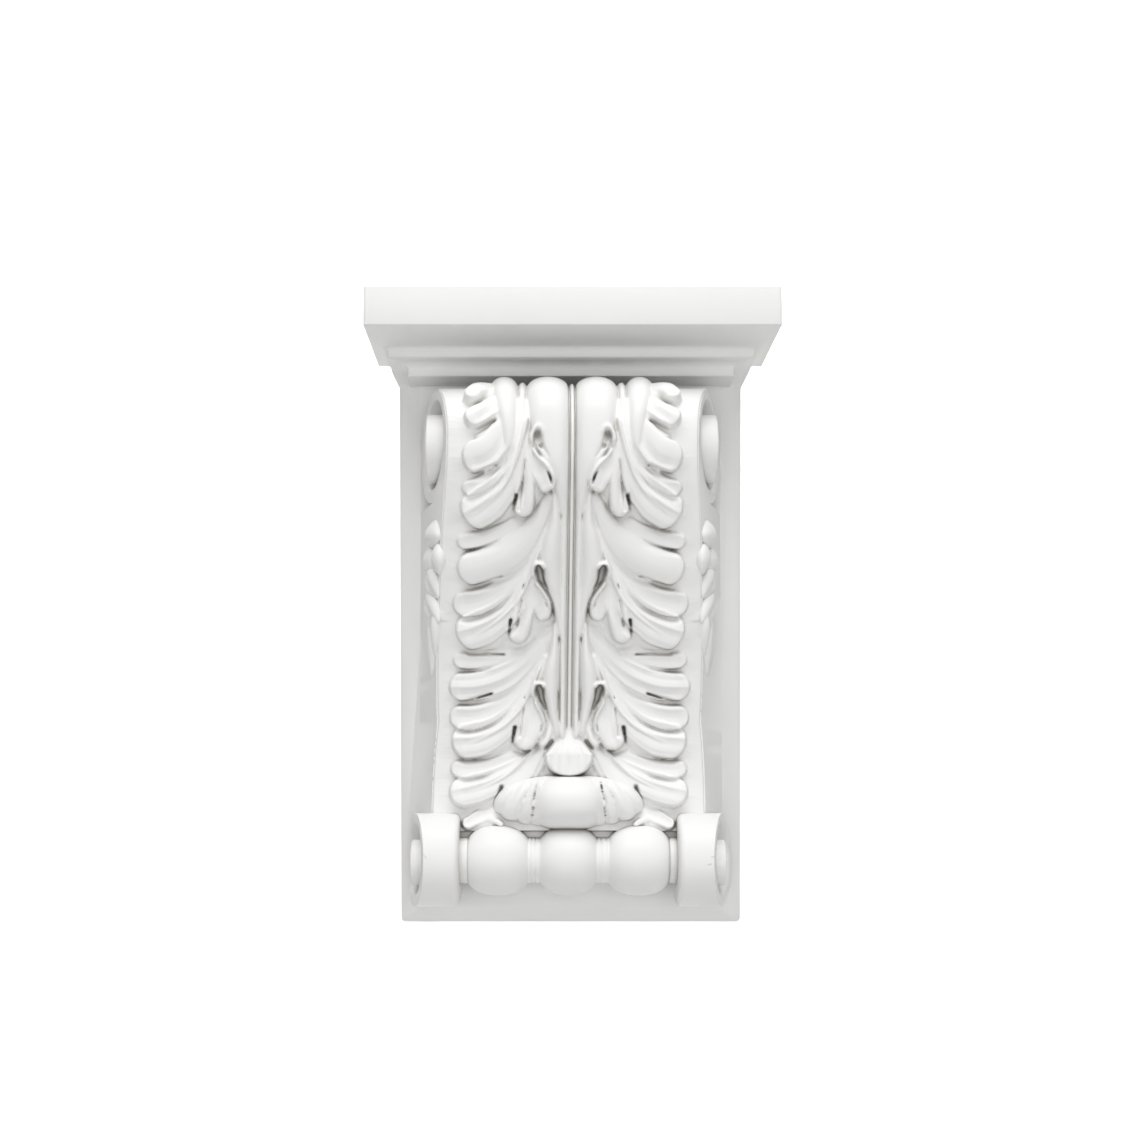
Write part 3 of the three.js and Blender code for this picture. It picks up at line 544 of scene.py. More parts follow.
def ridge_height(line, radius, top, x, along, under):
    """Height of a thin round ridge along a smoothed line, fading into the ground at both ends."""
    knots = np.array([(place[0], along_at(place[1])) for place in line])
    knots = np.concatenate([knots[:1], knots, knots[-1:]])
    best = np.full(x.shape, 1e9)
    count = 8 * (len(knots) - 3)
    path = []
    for k in range(count + 1):
        spot = min(k / 8.0, len(knots) - 3 - 1e-6)
        first = int(spot)
        t = spot - first
        a, b, c, d = knots[first:first + 4]
        path.append(0.5 * (
            2 * b + (c - a) * t + (2 * a - 5 * b + 4 * c - d) * t ** 2
            + (3 * b - a - 3 * c + d) * t ** 3
        ))
    fade = np.ones_like(x)
    for k in range(count):
        run = path[k + 1] - path[k]
        t = np.clip(((x - path[k][0]) * run[0] + (along - path[k][1]) * run[1]) / (run @ run), 0.0, 1.0)
        gap = np.hypot(x - path[k][0] - t * run[0], along - path[k][1] - t * run[1])
        closer = gap < best
        best = np.where(closer, gap, best)
        fade = np.where(closer, smooth(6.0 * np.minimum(k + t, count - k - t) / count), fade)
    arch = np.sqrt(np.clip(1.0 - (best / (radius * 1.5)) ** 2, 0.0, 1.0))
    return np.where(best < radius * 1.5, under + np.maximum(top - under, 0.0) * arch * fade, under)


def stations_along(stations):
    """Stations of a bar with each height changed to a length along the front."""
    placed = []
    for x, z, half, rise in stations:
        placed.append((0.0 if z > VOLUTE["z"] + VOLUTE["radius"] else along_at(z), x, half, rise))
    return np.array(placed)


def bar_height(stations, x, along):
    """Height of a round bar of changing width, and zero beside it."""
    placed = stations_along(stations)
    centre = bent(along, placed[:, 0], placed[:, 1])
    half = bent(along, placed[:, 0], placed[:, 2])
    rise = bent(along, placed[:, 0], placed[:, 3])
    past = np.maximum(placed[0, 0] - along, 0.0) + np.maximum(along - placed[-1, 0], 0.0)
    reach = np.hypot((x - centre) / half, past / (half * 2.0))
    return rise * np.sqrt(np.clip(1.0 - reach ** 2, 0.0, 1.0))


def cut_depth(cut, x, along):
    """Depth of a round-ended cut between two places."""
    start, end, radius_start, radius_end, depth = cut
    a = np.array([start[0], along_at(start[1])])
    b = np.array([end[0], along_at(end[1])])
    run = b - a
    t = np.clip(((x - a[0]) * run[0] + (along - a[1]) * run[1]) / (run @ run), 0.0, 1.0)
    gap = np.hypot(x - a[0] - t * run[0], along - a[1] - t * run[1])
    radius = radius_start + (radius_end - radius_start) * t
    fading = 1.0 - 0.6 * t if radius_end < radius_start else 1.0
    return depth * fading * smooth(1.3 * (1.0 - gap / (radius * 1.3)))


def blurred(height, passes):
    """The height with each place averaged with its neighbours."""
    for _ in range(passes):
        padded = np.pad(height, 1, mode="edge")
        rows = padded[:-2] + 2.0 * padded[1:-1] + padded[2:]
        height = (rows[:, :-2] + 2.0 * rows[:, 1:-1] + rows[:, 2:]) / 16.0
    return height


def relief(x, along):
    """Height of the carving over the S-curve on one half of the front."""
    height = smooth((GROUND["half"] - x) / GROUND["fade"])
    for bar in BARS:
        height = np.maximum(height, bar_height(bar, x, along))
    for leaf in reversed(LEAVES):
        points, _ = spine_of(*leaf[:3])
        near = window(points, max(leaf[3]) + 5.0, x, along)
        finger, hollow = finger_height(leaf, x[near], along[near])
        ground = height[near]
        ground = ground - np.minimum(hollow, np.maximum(ground - 0.4, 0.0))
        height[near] = np.maximum(ground, finger)
    for cut in CUTS:
        height = height - np.minimum(cut_depth(cut, x, along), np.maximum(height - 0.2, 0.0))
    for line, radius, top in RIDGES:
        height = ridge_height(line, radius, top, x, along, height)
    groove = FILLET_GROOVE["depth"] * smooth(1.4 - np.abs(x - FILLET_GROOVE["x"]) / FILLET_GROOVE["half"])
    running = smooth((along_at(FILLET["bottom"]) - along) / 4.0)
    height = height - groove * running
    top = FILLET["rise"] + (FILLET["lower_rise"] - FILLET["rise"]) * along / along_at(FILLET["bottom"])
    fillet = top * np.sqrt(np.clip(1.0 - (x / FILLET["half"]) ** 4, 0.0, 1.0)) * running
    height = np.maximum(height, fillet)
    return blurred(height, 1)


def held_back(forward):
    """How far forward the carving lies, with the foremost leaf curls held back softly."""
    span = CURL_MOST - CURL_START
    beyond = np.maximum(forward - CURL_START, 0.0)
    return np.minimum(forward, CURL_START) + span * (1.0 - np.exp(-beyond / span))


def front_sheet():
    """The carved front as one closed slab over the core."""
    rows = int(LENGTHS[-1] / CELL)
    columns = int(SHEET_HALF / CELL)
    along = np.linspace(0.0, LENGTHS[-1], rows)
    curve_y = np.interp(along, LENGTHS, CURVE[:, 0])
    curve_z = np.interp(along, LENGTHS, CURVE[:, 1])
    normal_y = np.interp(along, LENGTHS, NORMALS[:, 0])
    normal_z = np.interp(along, LENGTHS, NORMALS[:, 1])
    half = half_at(curve_y, curve_z)
    share = np.linspace(0.0, 1.0, columns)
    x = half[:, None] * share[None, :]
    height = relief(x, np.repeat(along[:, None], columns, axis=1))
    rim = np.clip((EDGE_ROUND - (half[:, None] - x)) / EDGE_ROUND, 0.0, 1.0)
    height = height - EDGE_ROUND * (1.0 - np.sqrt(1.0 - rim ** 2))
    x = np.concatenate([-x[:, :0:-1], x], axis=1)
    height = np.concatenate([height[:, :0:-1], height], axis=1)
    width = x.shape[1]
    x[:, 0] += SEAM_INSET
    x[:, -1] -= SEAM_INSET
    front = np.stack([
        x,
        -held_back(-(curve_y[:, None] + height * normal_y[:, None])),
        curve_z[:, None] + height * normal_z[:, None],
    ], axis=2)
    back = np.stack([
        x,
        np.repeat((curve_y - SHEET_BACK * normal_y)[:, None], width, axis=1),
        np.repeat((curve_z - SHEET_BACK * normal_z)[:, None], width, axis=1),
    ], axis=2)
    vertices = np.concatenate([front.reshape(-1, 3), back.reshape(-1, 3)])
    count = rows * width
    index = np.arange(count).reshape(rows, width)
    a, b = index[:-1, :-1].ravel(), index[:-1, 1:].ravel()
    c, d = index[1:, 1:].ravel(), index[1:, :-1].ravel()
    faces = [np.stack([a, d, c, b], axis=1), np.stack([a, b, c, d], axis=1) + count]
    border = np.concatenate([
        index[0, :], index[1:, -1], index[-1, -2::-1], index[-2:0:-1, 0],
    ])
    following = np.roll(border, -1)
    faces.append(np.stack([border, following, following + count, border + count], axis=1))
    mesh = bpy.data.meshes.new("front")
    quads = np.concatenate(faces)
    mesh.vertices.add(len(vertices))
    mesh.vertices.foreach_set("co", (vertices * MM).ravel())
    mesh.loops.add(quads.size)
    mesh.loops.foreach_set("vertex_index", quads.ravel())
    mesh.polygons.add(len(quads))
    mesh.polygons.foreach_set("loop_start", np.arange(len(quads)) * 4)
    mesh.update(calc_edges=True)
    mesh.validate()
    return linked("front", mesh)


# Plain parts of the casting

def rounded_rectangle(half, y_front, y_back, z, corner):
    """A rectangle in plan with its two front corners rounded."""
    points = [(half, y_back, z)]
    for side in (1, -1):
        for k in range(CORNER_STEPS + 1):
            turn = k / CORNER_STEPS if side > 0 else 1 + k / CORNER_STEPS
            angle = math.pi / 2 * turn
            x = side * (half - corner) + corner * math.cos(angle)
            points.append((x, y_front + corner - corner * math.sin(angle), z))
    points.append((-half, y_back, z))
    return points


def cove(z_top, height, half_top, half_low, front_top, front_low, steps=8):
    """Levels of a hollow quarter round, as (height, half width, distance in front of the wall)."""
    levels = []
    for k in range(steps + 1):
        angle = k / steps * math.pi / 2
        inward = math.sin(angle)
        levels.append((
            z_top - height * (1 - math.cos(angle)),
            half_top + (half_low - half_top) * inward,
            front_top + (front_low - front_top) * inward,
        ))
    return levels


def fillet_foot(bottom, fillet):
    """Levels of a fillet's lower edge with its chamfer."""
    half, front = fillet["half"], fillet["front"]
    return [
        (bottom + FILLET_CHAMFER, half, front),
        (bottom, half - FILLET_CHAMFER, front - FILLET_CHAMFER),
    ]


def make_cap():
    """The cap slab with its two fillets and the coves between them."""
    upper_bottom = SOFFIT - UPPER_FILLET["height"]
    lower_bottom = SOFFIT - LOWER_FILLET["drop"]
    levels = []
    for k in range(CORNER_STEPS + 1):
        angle = math.pi / 2 * k / CORNER_STEPS
        inset = CAP_EDGE * (1 - math.sin(angle))
        levels.append((TOP - CAP_EDGE * (1 - math.cos(angle)), CAP_HALF - inset, DEPTH - inset))
    for k in range(4):
        angle = math.pi / 2 * k / 3
        inset = FILLET_CORNER * (1 - math.cos(angle))
        levels.append((SOFFIT + FILLET_CORNER * (1 - math.sin(angle)), CAP_HALF - inset, DEPTH - inset))
    levels += cove(
        SOFFIT - COVE_QUIRK["upper"], UPPER_FILLET["cove"],
        UPPER_FILLET["half"] + UPPER_FILLET["side_cove"], UPPER_FILLET["half"],
        UPPER_FILLET["front"] + UPPER_FILLET["cove"], UPPER_FILLET["front"],
    )
    levels += fillet_foot(upper_bottom, UPPER_FILLET)
    levels += cove(
        upper_bottom - COVE_QUIRK["lower"],
        LOWER_FILLET["drop"] - UPPER_FILLET["height"] - LOWER_FILLET["height"],
        LOWER_FILLET["half"] + LOWER_FILLET["cove"], LOWER_FILLET["half"],
        LOWER_FILLET["front"] + LOWER_FILLET["cove"], LOWER_FILLET["front"],
    )
    levels += fillet_foot(lower_bottom, LOWER_FILLET)
    rings = [rounded_rectangle(half, -front, 0.0, z, CAP_CORNER) for z, half, front in levels]
    return loft("cap", rings)


def make_plate():
    """The back plate: bevelled, narrower at its foot and flared where it meets the cap."""
    z_high = SOFFIT - 1.0
    corner = PLATE_CORNER

    def ring(y, inset_side, inset_bottom):
        """The plate's outline at one depth, set in by its bevel."""
        top_half = PLATE_HALF - inset_side
        half = top_half - PLATE_TAPER
        low = BOTTOM + inset_bottom
        points = [(top_half, y, z_high), (-top_half, y, z_high)]
        for side in (-1, 1):
            for k in range(CORNER_STEPS + 1):
                turn = k / CORNER_STEPS if side < 0 else 1 - k / CORNER_STEPS
                angle = math.pi / 2 * turn
                x = side * (half - corner + corner * math.cos(angle))
                points.append((x, y, low + corner - corner * math.sin(angle)))
        return points

    plate = loft("plate", [
        ring(0.0, 0.0, 0.0),
        ring(-PLATE_EDGE, 0.0, 0.0),
        ring(-PLATE_EDGE - 0.25, 0.15, 0.15),
        ring(-PLATE_FACE + 0.15, PLATE_BEVEL_SIDE - 0.4, PLATE_BEVEL_BOTTOM - 0.3),
        ring(-PLATE_FACE, PLATE_BEVEL_SIDE, PLATE_BEVEL_BOTTOM),
    ])
    flare_top = SOFFIT - UPPER_FILLET["height"]
    flare = loft("flare", [
        rounded_rectangle(PLATE_HALF + PLATE_FLARE, -PLATE_FACE - PLATE_FLARE_DEPTH, 0.0, flare_top, 0.5),
        rounded_rectangle(PLATE_HALF, -PLATE_EDGE, 0.0, flare_top - PLATE_FLARE_HEIGHT, 0.3),
    ])
    return joined(plate, [flare])


def make_core():
    """The console under its carved front, between the drafted side planes."""
    inset = CURVE - CORE_INSET * NORMALS
    outline = [tuple(point) for point in inset[8::6]]
    outline += [
        (inset[-1][0], BODY_BOTTOM), (CORE_BACK, BODY_BOTTOM),
        (CORE_BACK, VOLUTE["z"] - VOLUTE["radius"]),
    ]
    for k in range(30):
        angle = math.radians(-88) + (VOLUTE_START + math.radians(86)) * k / 29
        outline.append((
            VOLUTE["y"] + VOLUTE["radius"] * math.cos(angle),
            VOLUTE["z"] + VOLUTE["radius"] * math.sin(angle),
        ))
    outline = outline[:-1]
    blank = loft("core", [[(x, y, z) for y, z in outline] for x in (-CORE_REACH, CORE_REACH)])
    rings = []
    front = WEDGE["front"]
    for z in np.linspace(WEDGE["bottom"], WEDGE["top"], WEDGE["levels"]):
        rings.append([
            (-half_at(0.0, z), 0.0, z), (half_at(0.0, z), 0.0, z),
            (half_at(front, z), front, z), (-half_at(front, z), front, z),
        ])
    return joined(blank, [loft("wedge", rings)], "INTERSECT")


def side_slope(side):
    """How fast the half width of a drafted side grows towards the wall."""
    return (side["back_half"] - side["front_half"]) / (side["back_y"] - side["front_y"])


def side_frame(centre, side, mirror, tilted=True):
    """Matrix of the side plane at the centre of a whorl, X outwards."""
    slope = side_slope(side)
    half = side["front_half"] + slope * (centre["y"] - side["front_y"])
    place = Matrix.Translation((half, centre["y"], centre["z"]))
    if tilted:
        place = place @ Matrix.Rotation(-math.atan(slope), 4, "Z")
    return Matrix.Scale(-1, 4, (1, 0, 0)) @ place if mirror else place


def whorl_parts(centre, whorl, place, upright):
    """Channel to cut into the drafted side, and the upright boss, dish and eye inside it."""
    channel_radius = centre["radius"] - whorl["ring"]
    up = place @ Matrix.Translation((0, 0, whorl["drop"] / 2))
    down = upright @ Matrix.Translation((0, 0, -whorl["drop"]))
    edge = WHORL_EDGE
    channel = lathe("channel", [
        (-whorl["channel"], channel_radius - 1.0), (-whorl["channel"] + 1.0, channel_radius),
        (-edge, channel_radius), (0.0, channel_radius + edge), (WHORL_CLEAR, channel_radius + edge),
    ], ROUND, up)
    proud = whorl["proud"]
    radius = whorl["radius"]
    boss = lathe("boss", [
        (-whorl["channel"] - 3.0, radius), (proud - edge, radius), (proud - edge * 0.3, radius - edge * 0.3),
        (proud, radius - edge),
    ], ROUND, down)
    eye_radius = whorl["eye"]
    dish = lathe("dish", [
        (proud - 1.4, eye_radius + 0.4), (proud - 1.1, eye_radius + 1.4),
        (proud + 0.4, eye_radius + 2.2), (WHORL_CLEAR, eye_radius + 2.2),
    ], ROUND, down)
    top = proud + whorl["eye_proud"]
    eye = lathe("eye", [
        (-whorl["channel"], eye_radius), (top - 0.9, eye_radius),
        (top - 0.3, eye_radius - 0.6), (top, eye_radius - 2.0),
    ], ROUND, down)
    return channel, boss, dish, eye


def with_whorls(solid, centre, whorl, side, ends=(False, True)):
    """The solid with a whorl on its drafted sides."""
    for mirror in ends:
        place = side_frame(centre, side, mirror)
        upright = side_frame(centre, side, mirror, tilted=False)
        channel, boss, dish, eye = whorl_parts(centre, whorl, place, upright)
        solid = joined(solid, [channel], "DIFFERENCE")
        solid = joined(solid, [boss])
        solid = joined(solid, [dish], "DIFFERENCE")
        solid = joined(solid, [eye])
    return solid


def make_scrolls():
    """The two bottom scrolls: drums with a rounded inner rim and a drafted outer face."""
    slope = side_slope(SCROLL_SIDE)
    made = []
    rim = SCROLL["rim"]
    for side in (1, -1):
        profile = [(SCROLL["inner"], SCROLL["radius"] - rim - 1.0)]
        for angle in np.linspace(0.0, math.pi / 2, 9):
            profile.append((
                SCROLL["inner"] + rim * (1 - math.cos(angle)), SCROLL["radius"] - rim * (1 - math.sin(angle)),
            ))
        profile.append((SCROLL_BLANK["to"], SCROLL["radius"]))
        place = Matrix.Translation((0, SCROLL["y"], SCROLL["z"]))
        if side < 0:
            place = Matrix.Scale(-1, 4, (1, 0, 0)) @ place
        drum = lathe("scroll", profile, ROUND, place)
        rings = []
        for z in (BOTTOM, SCROLL_BLANK["top"]):
            outer = [SCROLL_SIDE["front_half"] + slope * (y - SCROLL_SIDE["front_y"]) for y in (0.0, -DEPTH)]
            rings.append([
                (side * SCROLL_BLANK["from"], 0.0, z), (side * outer[0], 0.0, z),
                (side * outer[1], -DEPTH, z), (side * SCROLL_BLANK["from"], -DEPTH, z),
            ])
        drum = joined(drum, [loft("wedge", rings)], "INTERSECT")
        drum = with_whorls(drum, SCROLL, SCROLL_WHORL, SCROLL_SIDE, ends=(side < 0,))
        nicks = []
        for x, z, turn, length in NICKS:
            if x * side > 0:
                deep = math.sqrt(SCROLL["radius"] ** 2 - (z - SCROLL["z"]) ** 2)
                spot = Matrix.Translation((x, SCROLL["y"] - deep, z)) @ Matrix.Rotation(turn, 4, "Y")
                profile = [
                    (-length * math.cos(angle), NICK_RADIUS * math.sin(angle))
                    for angle in np.linspace(0.1, math.pi - 0.1, 9)
                ]
                nicks.append(lathe("nick", profile, 12, spot))
        made.append(joined(drum, nicks, "DIFFERENCE"))
    return made


def make_beads():
    """Three beads with a reel of fine rings between them, and the flat web behind."""
    end = SCROLL["inner"] + 1.0
    profile = [(-end, BEAD["reel"])]
    middles = (-BEAD["pitch"], 0.0, BEAD["pitch"])
    halves = (BEAD["half_length"], BEAD["middle_half"], BEAD["half_length"])
    for number in range(3):
        for share in np.sin(np.linspace(-1.0, 1.0, 49) * math.pi / 2):
            radius = BEAD["radius"] * (1.0 - abs(share) ** BEAD_FULLNESS) ** (1.0 / BEAD_FULLNESS)
            if radius > BEAD["line"]:
                profile.append((middles[number] + halves[number] * share, radius))
        start = profile[-1][0]
        stop = end
        rings = 1.0
        if number < 2:
            stop = 2.0 * (middles[number] + BEAD["pitch"] / 2.0 + REEL_SHIFT * (1 - number)) - start
            rings = 3.0
        for step in np.linspace(0.04, 0.96, 24):
            ring = abs(math.sin(math.pi * step * rings))
            radius = BEAD["line"] + (BEAD["reel"] - BEAD["line"]) * ring ** 0.5
            profile.append((start + (stop - start) * step, radius))
    profile.append((end, BEAD["reel"]))
    roll = lathe("beads", profile, ROUND, Matrix.Translation((0, SCROLL["y"], SCROLL["z"])))
    low = SCROLL["y"] + WEB_BACK["low"]
    high = FOOT["y"] + WEB_BACK["high"]
    web = loft("web", [
        [(x, -1.0, FOOT["z"]), (x, high, FOOT["z"]), (x, low, BODY_BOTTOM), (x, -1.0, BODY_BOTTOM)]
        for x in (-end, end)
    ])
    return joined(roll, [web])


def shell_depth(x, z):
    """How far the shell stands forward: a proud barrel, with three ribs that fan out on each flank."""
    side = np.abs(x)
    edge = (side / SHELL["half"]) ** 2.4
    edge = edge + (np.maximum(z, 0.0) / SHELL["top"]) ** 2 + (np.maximum(-z, 0.0) / SHELL["low"]) ** 3
    spread = np.arctan2(side - FAN["x"], FAN["z"] - z)
    rib = np.clip(np.interp(spread, FAN_GROOVES, np.arange(len(FAN_GROOVES))), 0.0, len(FAN_GROOVES) - 1.001)
    arch = np.sin(math.pi * (rib % 1.0)) ** 1.2
    edge = edge + FAN["scallop"] * (1.0 - arch) * smooth(-z / 8.0)
    dome = SHELL["reach"] * np.sqrt(np.clip(1.0 - edge, 0.0, 1.0))
    dome = dome * (1.0 - FAN["groove"] * (1.0 - arch))
    round_up = np.clip(1.0 - (np.abs(z) / BARREL["height"]) ** 2.2 - (side / BARREL["half"]) ** 2.8, 0.0, 1.0)
    return np.maximum(dome, BARREL["reach"] * np.sqrt(round_up))


def make_shell():
    """A bowl like a gadrooned shell, as a mesh of rings that shrink from its outline to its middle."""
    turns = np.linspace(0.0, 2.0 * math.pi, 240, endpoint=False)
    spokes = np.linspace(0.0, 40.0, 801)[:, None]
    seen = shell_depth(spokes * np.cos(turns), spokes * np.sin(turns)) > 0.0
    outline = np.array([spokes[np.nonzero(seen[:, k])[0][-1], 0] for k in range(len(turns))])
    rings = [[
        (radius * math.cos(turn), SHELL["y"] + SHELL_ROOT, SHELL["z"] + radius * math.sin(turn))
        for radius, turn in zip(outline, turns)
    ]]
    for lift in np.linspace(0.0, math.pi / 2 - 0.03, 40):
        radius = outline * math.cos(lift)
        x, z = radius * np.cos(turns), radius * np.sin(turns)
        y = SHELL["y"] - shell_depth(x, z)
        rings.append([(x[k], y[k], SHELL["z"] + z[k]) for k in range(len(turns))])
    return loft("shell", rings)


def make_side_drops():
    """A hanging string of buds and leaves on each side, from below the volute down."""
    made = []
    for side in (1, -1):
        for y, z, half_y, half_z, lean, widest, rise in SIDE_DROP:
            slope = (half_at(y + 1.0, z) - half_at(y - 1.0, z)) / 2.0
            tip = (half_at(y, z + half_z) - half_at(y, z - half_z)) / (2.0 * half_z)
            rings = []
            for t in np.linspace(0.02, 0.985, 27):
                body = math.sin(math.pi * t ** widest) ** 0.7
                ring = []
                for angle in np.linspace(0.0, 2 * math.pi, 32, endpoint=False):
                    crease = 1.0 - 0.3 * math.exp(-(math.sin(angle) / 0.3) ** 2) * (widest < 1.0)
                    ring.append(Vector((
                        rise * body * math.cos(angle) * crease,
                        half_y * body * math.sin(angle),
                        half_z * (1.0 - 2.0 * t),
                    )))
                rings.append(ring)
            place = Matrix.Translation((half_at(y, z), y, z)) @ Matrix.Rotation(-math.atan(slope), 4, "Z")
            place = place @ Matrix.Rotation(math.atan(tip), 4, "Y") @ Matrix.Rotation(lean, 4, "X")
            if side < 0:
                place = Matrix.Scale(-1, 4, (1, 0, 0)) @ place
            made.append(loft("drop", [[tuple(place @ point) for point in ring] for ring in rings]))
    return made


def decimated(solid, target):
    """The solid with its flat stretches thinned out to a number of triangles."""
    solid.data.calc_loop_triangles()
    have = len(solid.data.loop_triangles)
    if have > target:
        thin = solid.modifiers.new("thin", "DECIMATE")
        thin.ratio = target / have
        applied(solid)
    return solid


def map_range(nodes, came_from, goes_to):
    """A node that carries one range of values over to another."""
    node = nodes.new("ShaderNodeMapRange")
    node.inputs["From Min"].default_value = came_from[0]
    node.inputs["From Max"].default_value = came_from[1]
    node.inputs["To Min"].default_value = goes_to[0]
    node.inputs["To Max"].default_value = goes_to[1]
    return node


def white_paint():
    """Satin white paint over a smooth casting, with painted shade in gaps that turns it greyer and a little
    warmer (the warm part is faint grime) and darker painted shade in deep pockets.
    """
    material = bpy.data.materials.new("white_paint")
    material.use_nodes = True
    nodes = material.node_tree.nodes
    links = material.node_tree.links
    shader = nodes["Principled BSDF"]
    shader.inputs["Roughness"].default_value = 0.5
    shader.inputs["Specular IOR Level"].default_value = 0.35
    # Painted shade in narrow gaps and creases: ambient occlusion blends the paint towards a grey with a faint
    # warm grime tint
    hollow = nodes.new("ShaderNodeAmbientOcclusion")
    hollow.inputs["Distance"].default_value = GAP_SHADE_REACH
    hollow.samples = 8
    ramp = nodes.new("ShaderNodeValToRGB")
    ramp.color_ramp.elements[0].position = 0.18
    ramp.color_ramp.elements[0].color = GAP_SHADE_AND_GRIME_COLOUR
    ramp.color_ramp.elements[1].position = 0.62
    ramp.color_ramp.elements[1].color = PAINT_COLOUR
    links.new(hollow.outputs["AO"], ramp.inputs["Fac"])
    place = nodes.new("ShaderNodeTexCoord")
    cloud = nodes.new("ShaderNodeTexNoise")
    cloud.inputs["Scale"].default_value = 26.0
    cloud.inputs["Detail"].default_value = 4.0
    links.new(place.outputs["Object"], cloud.inputs["Vector"])
    spread = map_range(nodes, (0.3, 0.7), (0.972, 1.0))
    links.new(cloud.outputs["Fac"], spread.inputs["Value"])
    tint = nodes.new("ShaderNodeVectorMath")
    tint.operation = "SCALE"
    # Painted shade in deep pockets: a second, wider ambient occlusion darkens the paint further
    pocket_shade = nodes.new("ShaderNodeAmbientOcclusion")
    pocket_shade.inputs["Distance"].default_value = POCKET_SHADE_REACH
    pocket_shade.samples = 8
    pocket_shade_factor = map_range(nodes, (0.08, 0.3), (0.2, 1.0))
    links.new(pocket_shade.outputs["AO"], pocket_shade_factor.inputs["Value"])
    deep = nodes.new("ShaderNodeVectorMath")
    deep.operation = "SCALE"
    links.new(ramp.outputs["Color"], deep.inputs[0])
    links.new(pocket_shade_factor.outputs["Result"], deep.inputs["Scale"])
    links.new(deep.outputs["Vector"], tint.inputs[0])
    links.new(spread.outputs["Result"], tint.inputs["Scale"])
    links.new(tint.outputs["Vector"], shader.inputs["Base Color"])
    grain = nodes.new("ShaderNodeTexNoise")
    grain.inputs["Scale"].default_value = 900.0
    grain.inputs["Detail"].default_value = 3.0
    links.new(place.outputs["Object"], grain.inputs["Vector"])
    bump = nodes.new("ShaderNodeBump")
    bump.inputs["Strength"].default_value = 0.12
    bump.inputs["Distance"].default_value = 0.0003
    links.new(grain.outputs["Fac"], bump.inputs["Height"])
    links.new(bump.outputs["Normal"], shader.inputs["Normal"])
    return material


def leaned(solid):
    """The console as cast: its middle line leans a little to the left towards the foot."""
    mesh = solid.data
    places = np.empty(len(mesh.vertices) * 3)
    mesh.vertices.foreach_get("co", places)
    places = places.reshape(-1, 3)
    down = np.clip((VOLUTE["z"] * MM - places[:, 2]) / ((VOLUTE["z"] - SCROLL["z"]) * MM), 0.0, 1.0)
    forward = smooth((-places[:, 1] / MM - PLATE_FACE) / LEAN_DEPTH)
    forward = forward * (places[:, 2] < LEAN_TOP * MM)
    places[:, 0] -= LEAN * MM * down * forward
    mesh.vertices.foreach_set("co", places.ravel())
    mesh.update()
    return solid


def make_corbel():
    """The whole casting as one mesh."""
    sheet = decimated(front_sheet(), SHEET_TRIANGLES)
    core = with_whorls(make_core(), VOLUTE, VOLUTE_WHORL, VOLUTE_SIDE)
    small = [make_plate(), make_cap(), make_beads(), make_shell(), *make_scrolls(), *make_side_drops()]
    core = joined(core, small)
    corbel = joined(core, [sheet])
    corbel = leaned(decimated(corbel, PIECE_TRIANGLES))
    corbel.name = "corbel_casting"
    corbel.data.name = "corbel_casting"
    corbel.data.materials.clear()
    corbel.data.materials.append(white_paint())
    corbel.data.shade_smooth()
    corbel.data.set_sharp_from_angle(angle=SHARP_ANGLE)
    return corbel


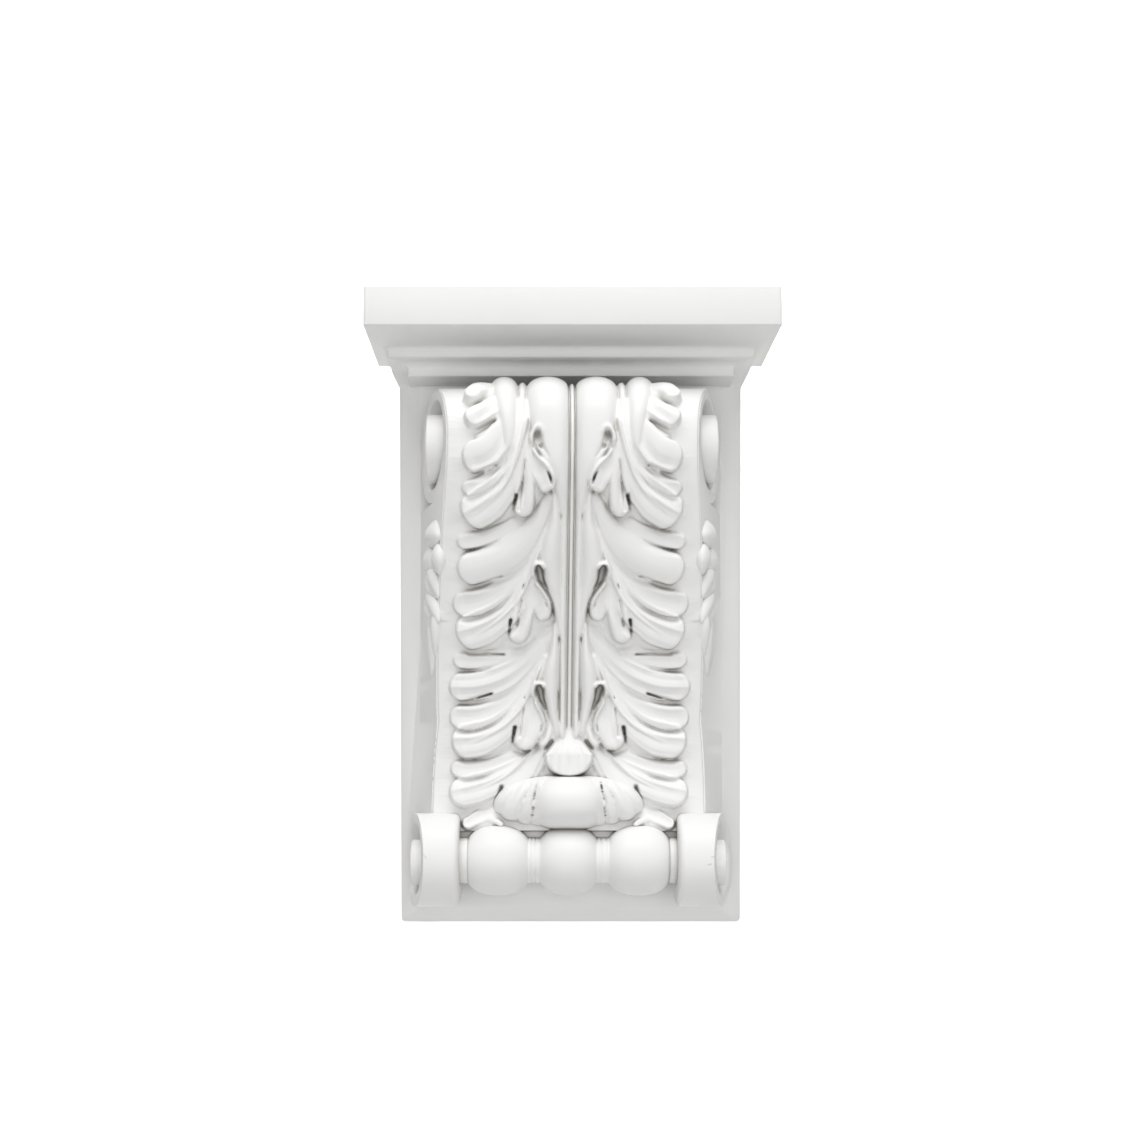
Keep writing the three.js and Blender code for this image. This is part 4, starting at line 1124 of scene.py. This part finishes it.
def make_stage():
    """A pale floor that curves up into a white backdrop, well clear of the corbel."""
    width, near, far, height, bend = 4.0, -3.0, 1.6, 3.2, 0.6
    floor = -0.9
    profile = [(near, floor), (far - bend, floor)]
    for k in range(1, 13):
        angle = math.pi / 2 * k / 12
        profile.append((far - bend + bend * math.sin(angle), floor + bend - bend * math.cos(angle)))
    profile.append((far, height))
    vertices = [(x, y, z) for x in (-width, width) for y, z in profile]
    count = len(profile)
    faces = [(k, k + 1, count + k + 1, count + k) for k in range(count - 1)]
    mesh = bpy.data.meshes.new("backdrop")
    mesh.from_pydata(vertices, [], faces)
    mesh.update()
    mesh.shade_smooth()
    backdrop = linked("backdrop", mesh)
    paper = bpy.data.materials.new("backdrop_paper")
    paper.use_nodes = True
    nodes = paper.node_tree.nodes
    links = paper.node_tree.links
    shader = nodes["Principled BSDF"]
    shader.inputs["Roughness"].default_value = 0.9
    place = nodes.new("ShaderNodeNewGeometry")
    apart = nodes.new("ShaderNodeSeparateXYZ")
    links.new(place.outputs["Position"], apart.inputs["Vector"])
    rise = map_range(nodes, (floor, floor + bend), (0.0, 1.0))
    links.new(apart.outputs["Z"], rise.inputs["Value"])
    ramp = nodes.new("ShaderNodeValToRGB")
    ramp.color_ramp.elements[0].color = FLOOR_COLOUR
    ramp.color_ramp.elements[1].color = BACKDROP_COLOUR
    links.new(rise.outputs["Result"], ramp.inputs["Fac"])
    links.new(ramp.outputs["Color"], shader.inputs["Base Color"])
    mesh.materials.append(paper)


def area_light(name, place, target, size, power, spread):
    """A soft rectangular light that faces a target."""
    light = bpy.data.lights.new(name, "AREA")
    light.shape = "RECTANGLE"
    light.size = size[0]
    light.size_y = size[1]
    light.energy = power
    light.spread = math.radians(spread)
    made = linked(name, light)
    made.location = place
    made.rotation_euler = (Vector(target) - Vector(place)).to_track_quat("-Z", "Y").to_euler()


def make_lights():
    """The soft studio lights and the even light of the room."""
    for row in LIGHTS:
        area_light(*row)
    world = bpy.context.scene.world or bpy.data.worlds.new("studio")
    bpy.context.scene.world = world
    world.use_nodes = True
    background = world.node_tree.nodes["Background"]
    background.inputs["Color"].default_value = WORLD_COLOUR
    background.inputs["Strength"].default_value = WORLD_STRENGTH


def make_camera():
    """The camera where the photograph was taken from."""
    camera = bpy.data.cameras.new("camera")
    camera.sensor_width = CAMERA_SENSOR
    camera.lens = CAMERA["lens"]
    camera.shift_x = CAMERA["shift_x"]
    camera.shift_y = CAMERA["shift_y"]
    made = linked("camera", camera)
    made.location = CAMERA["place"]
    made.rotation_euler = (math.pi / 2 + CAMERA_PITCH, 0, 0)
    bpy.context.scene.camera = made


make_camera()
make_lights()
make_stage()
corbel = make_corbel()
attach(corbel, "root")
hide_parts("corbel")
bpy.context.scene.view_settings.view_transform = "Standard"
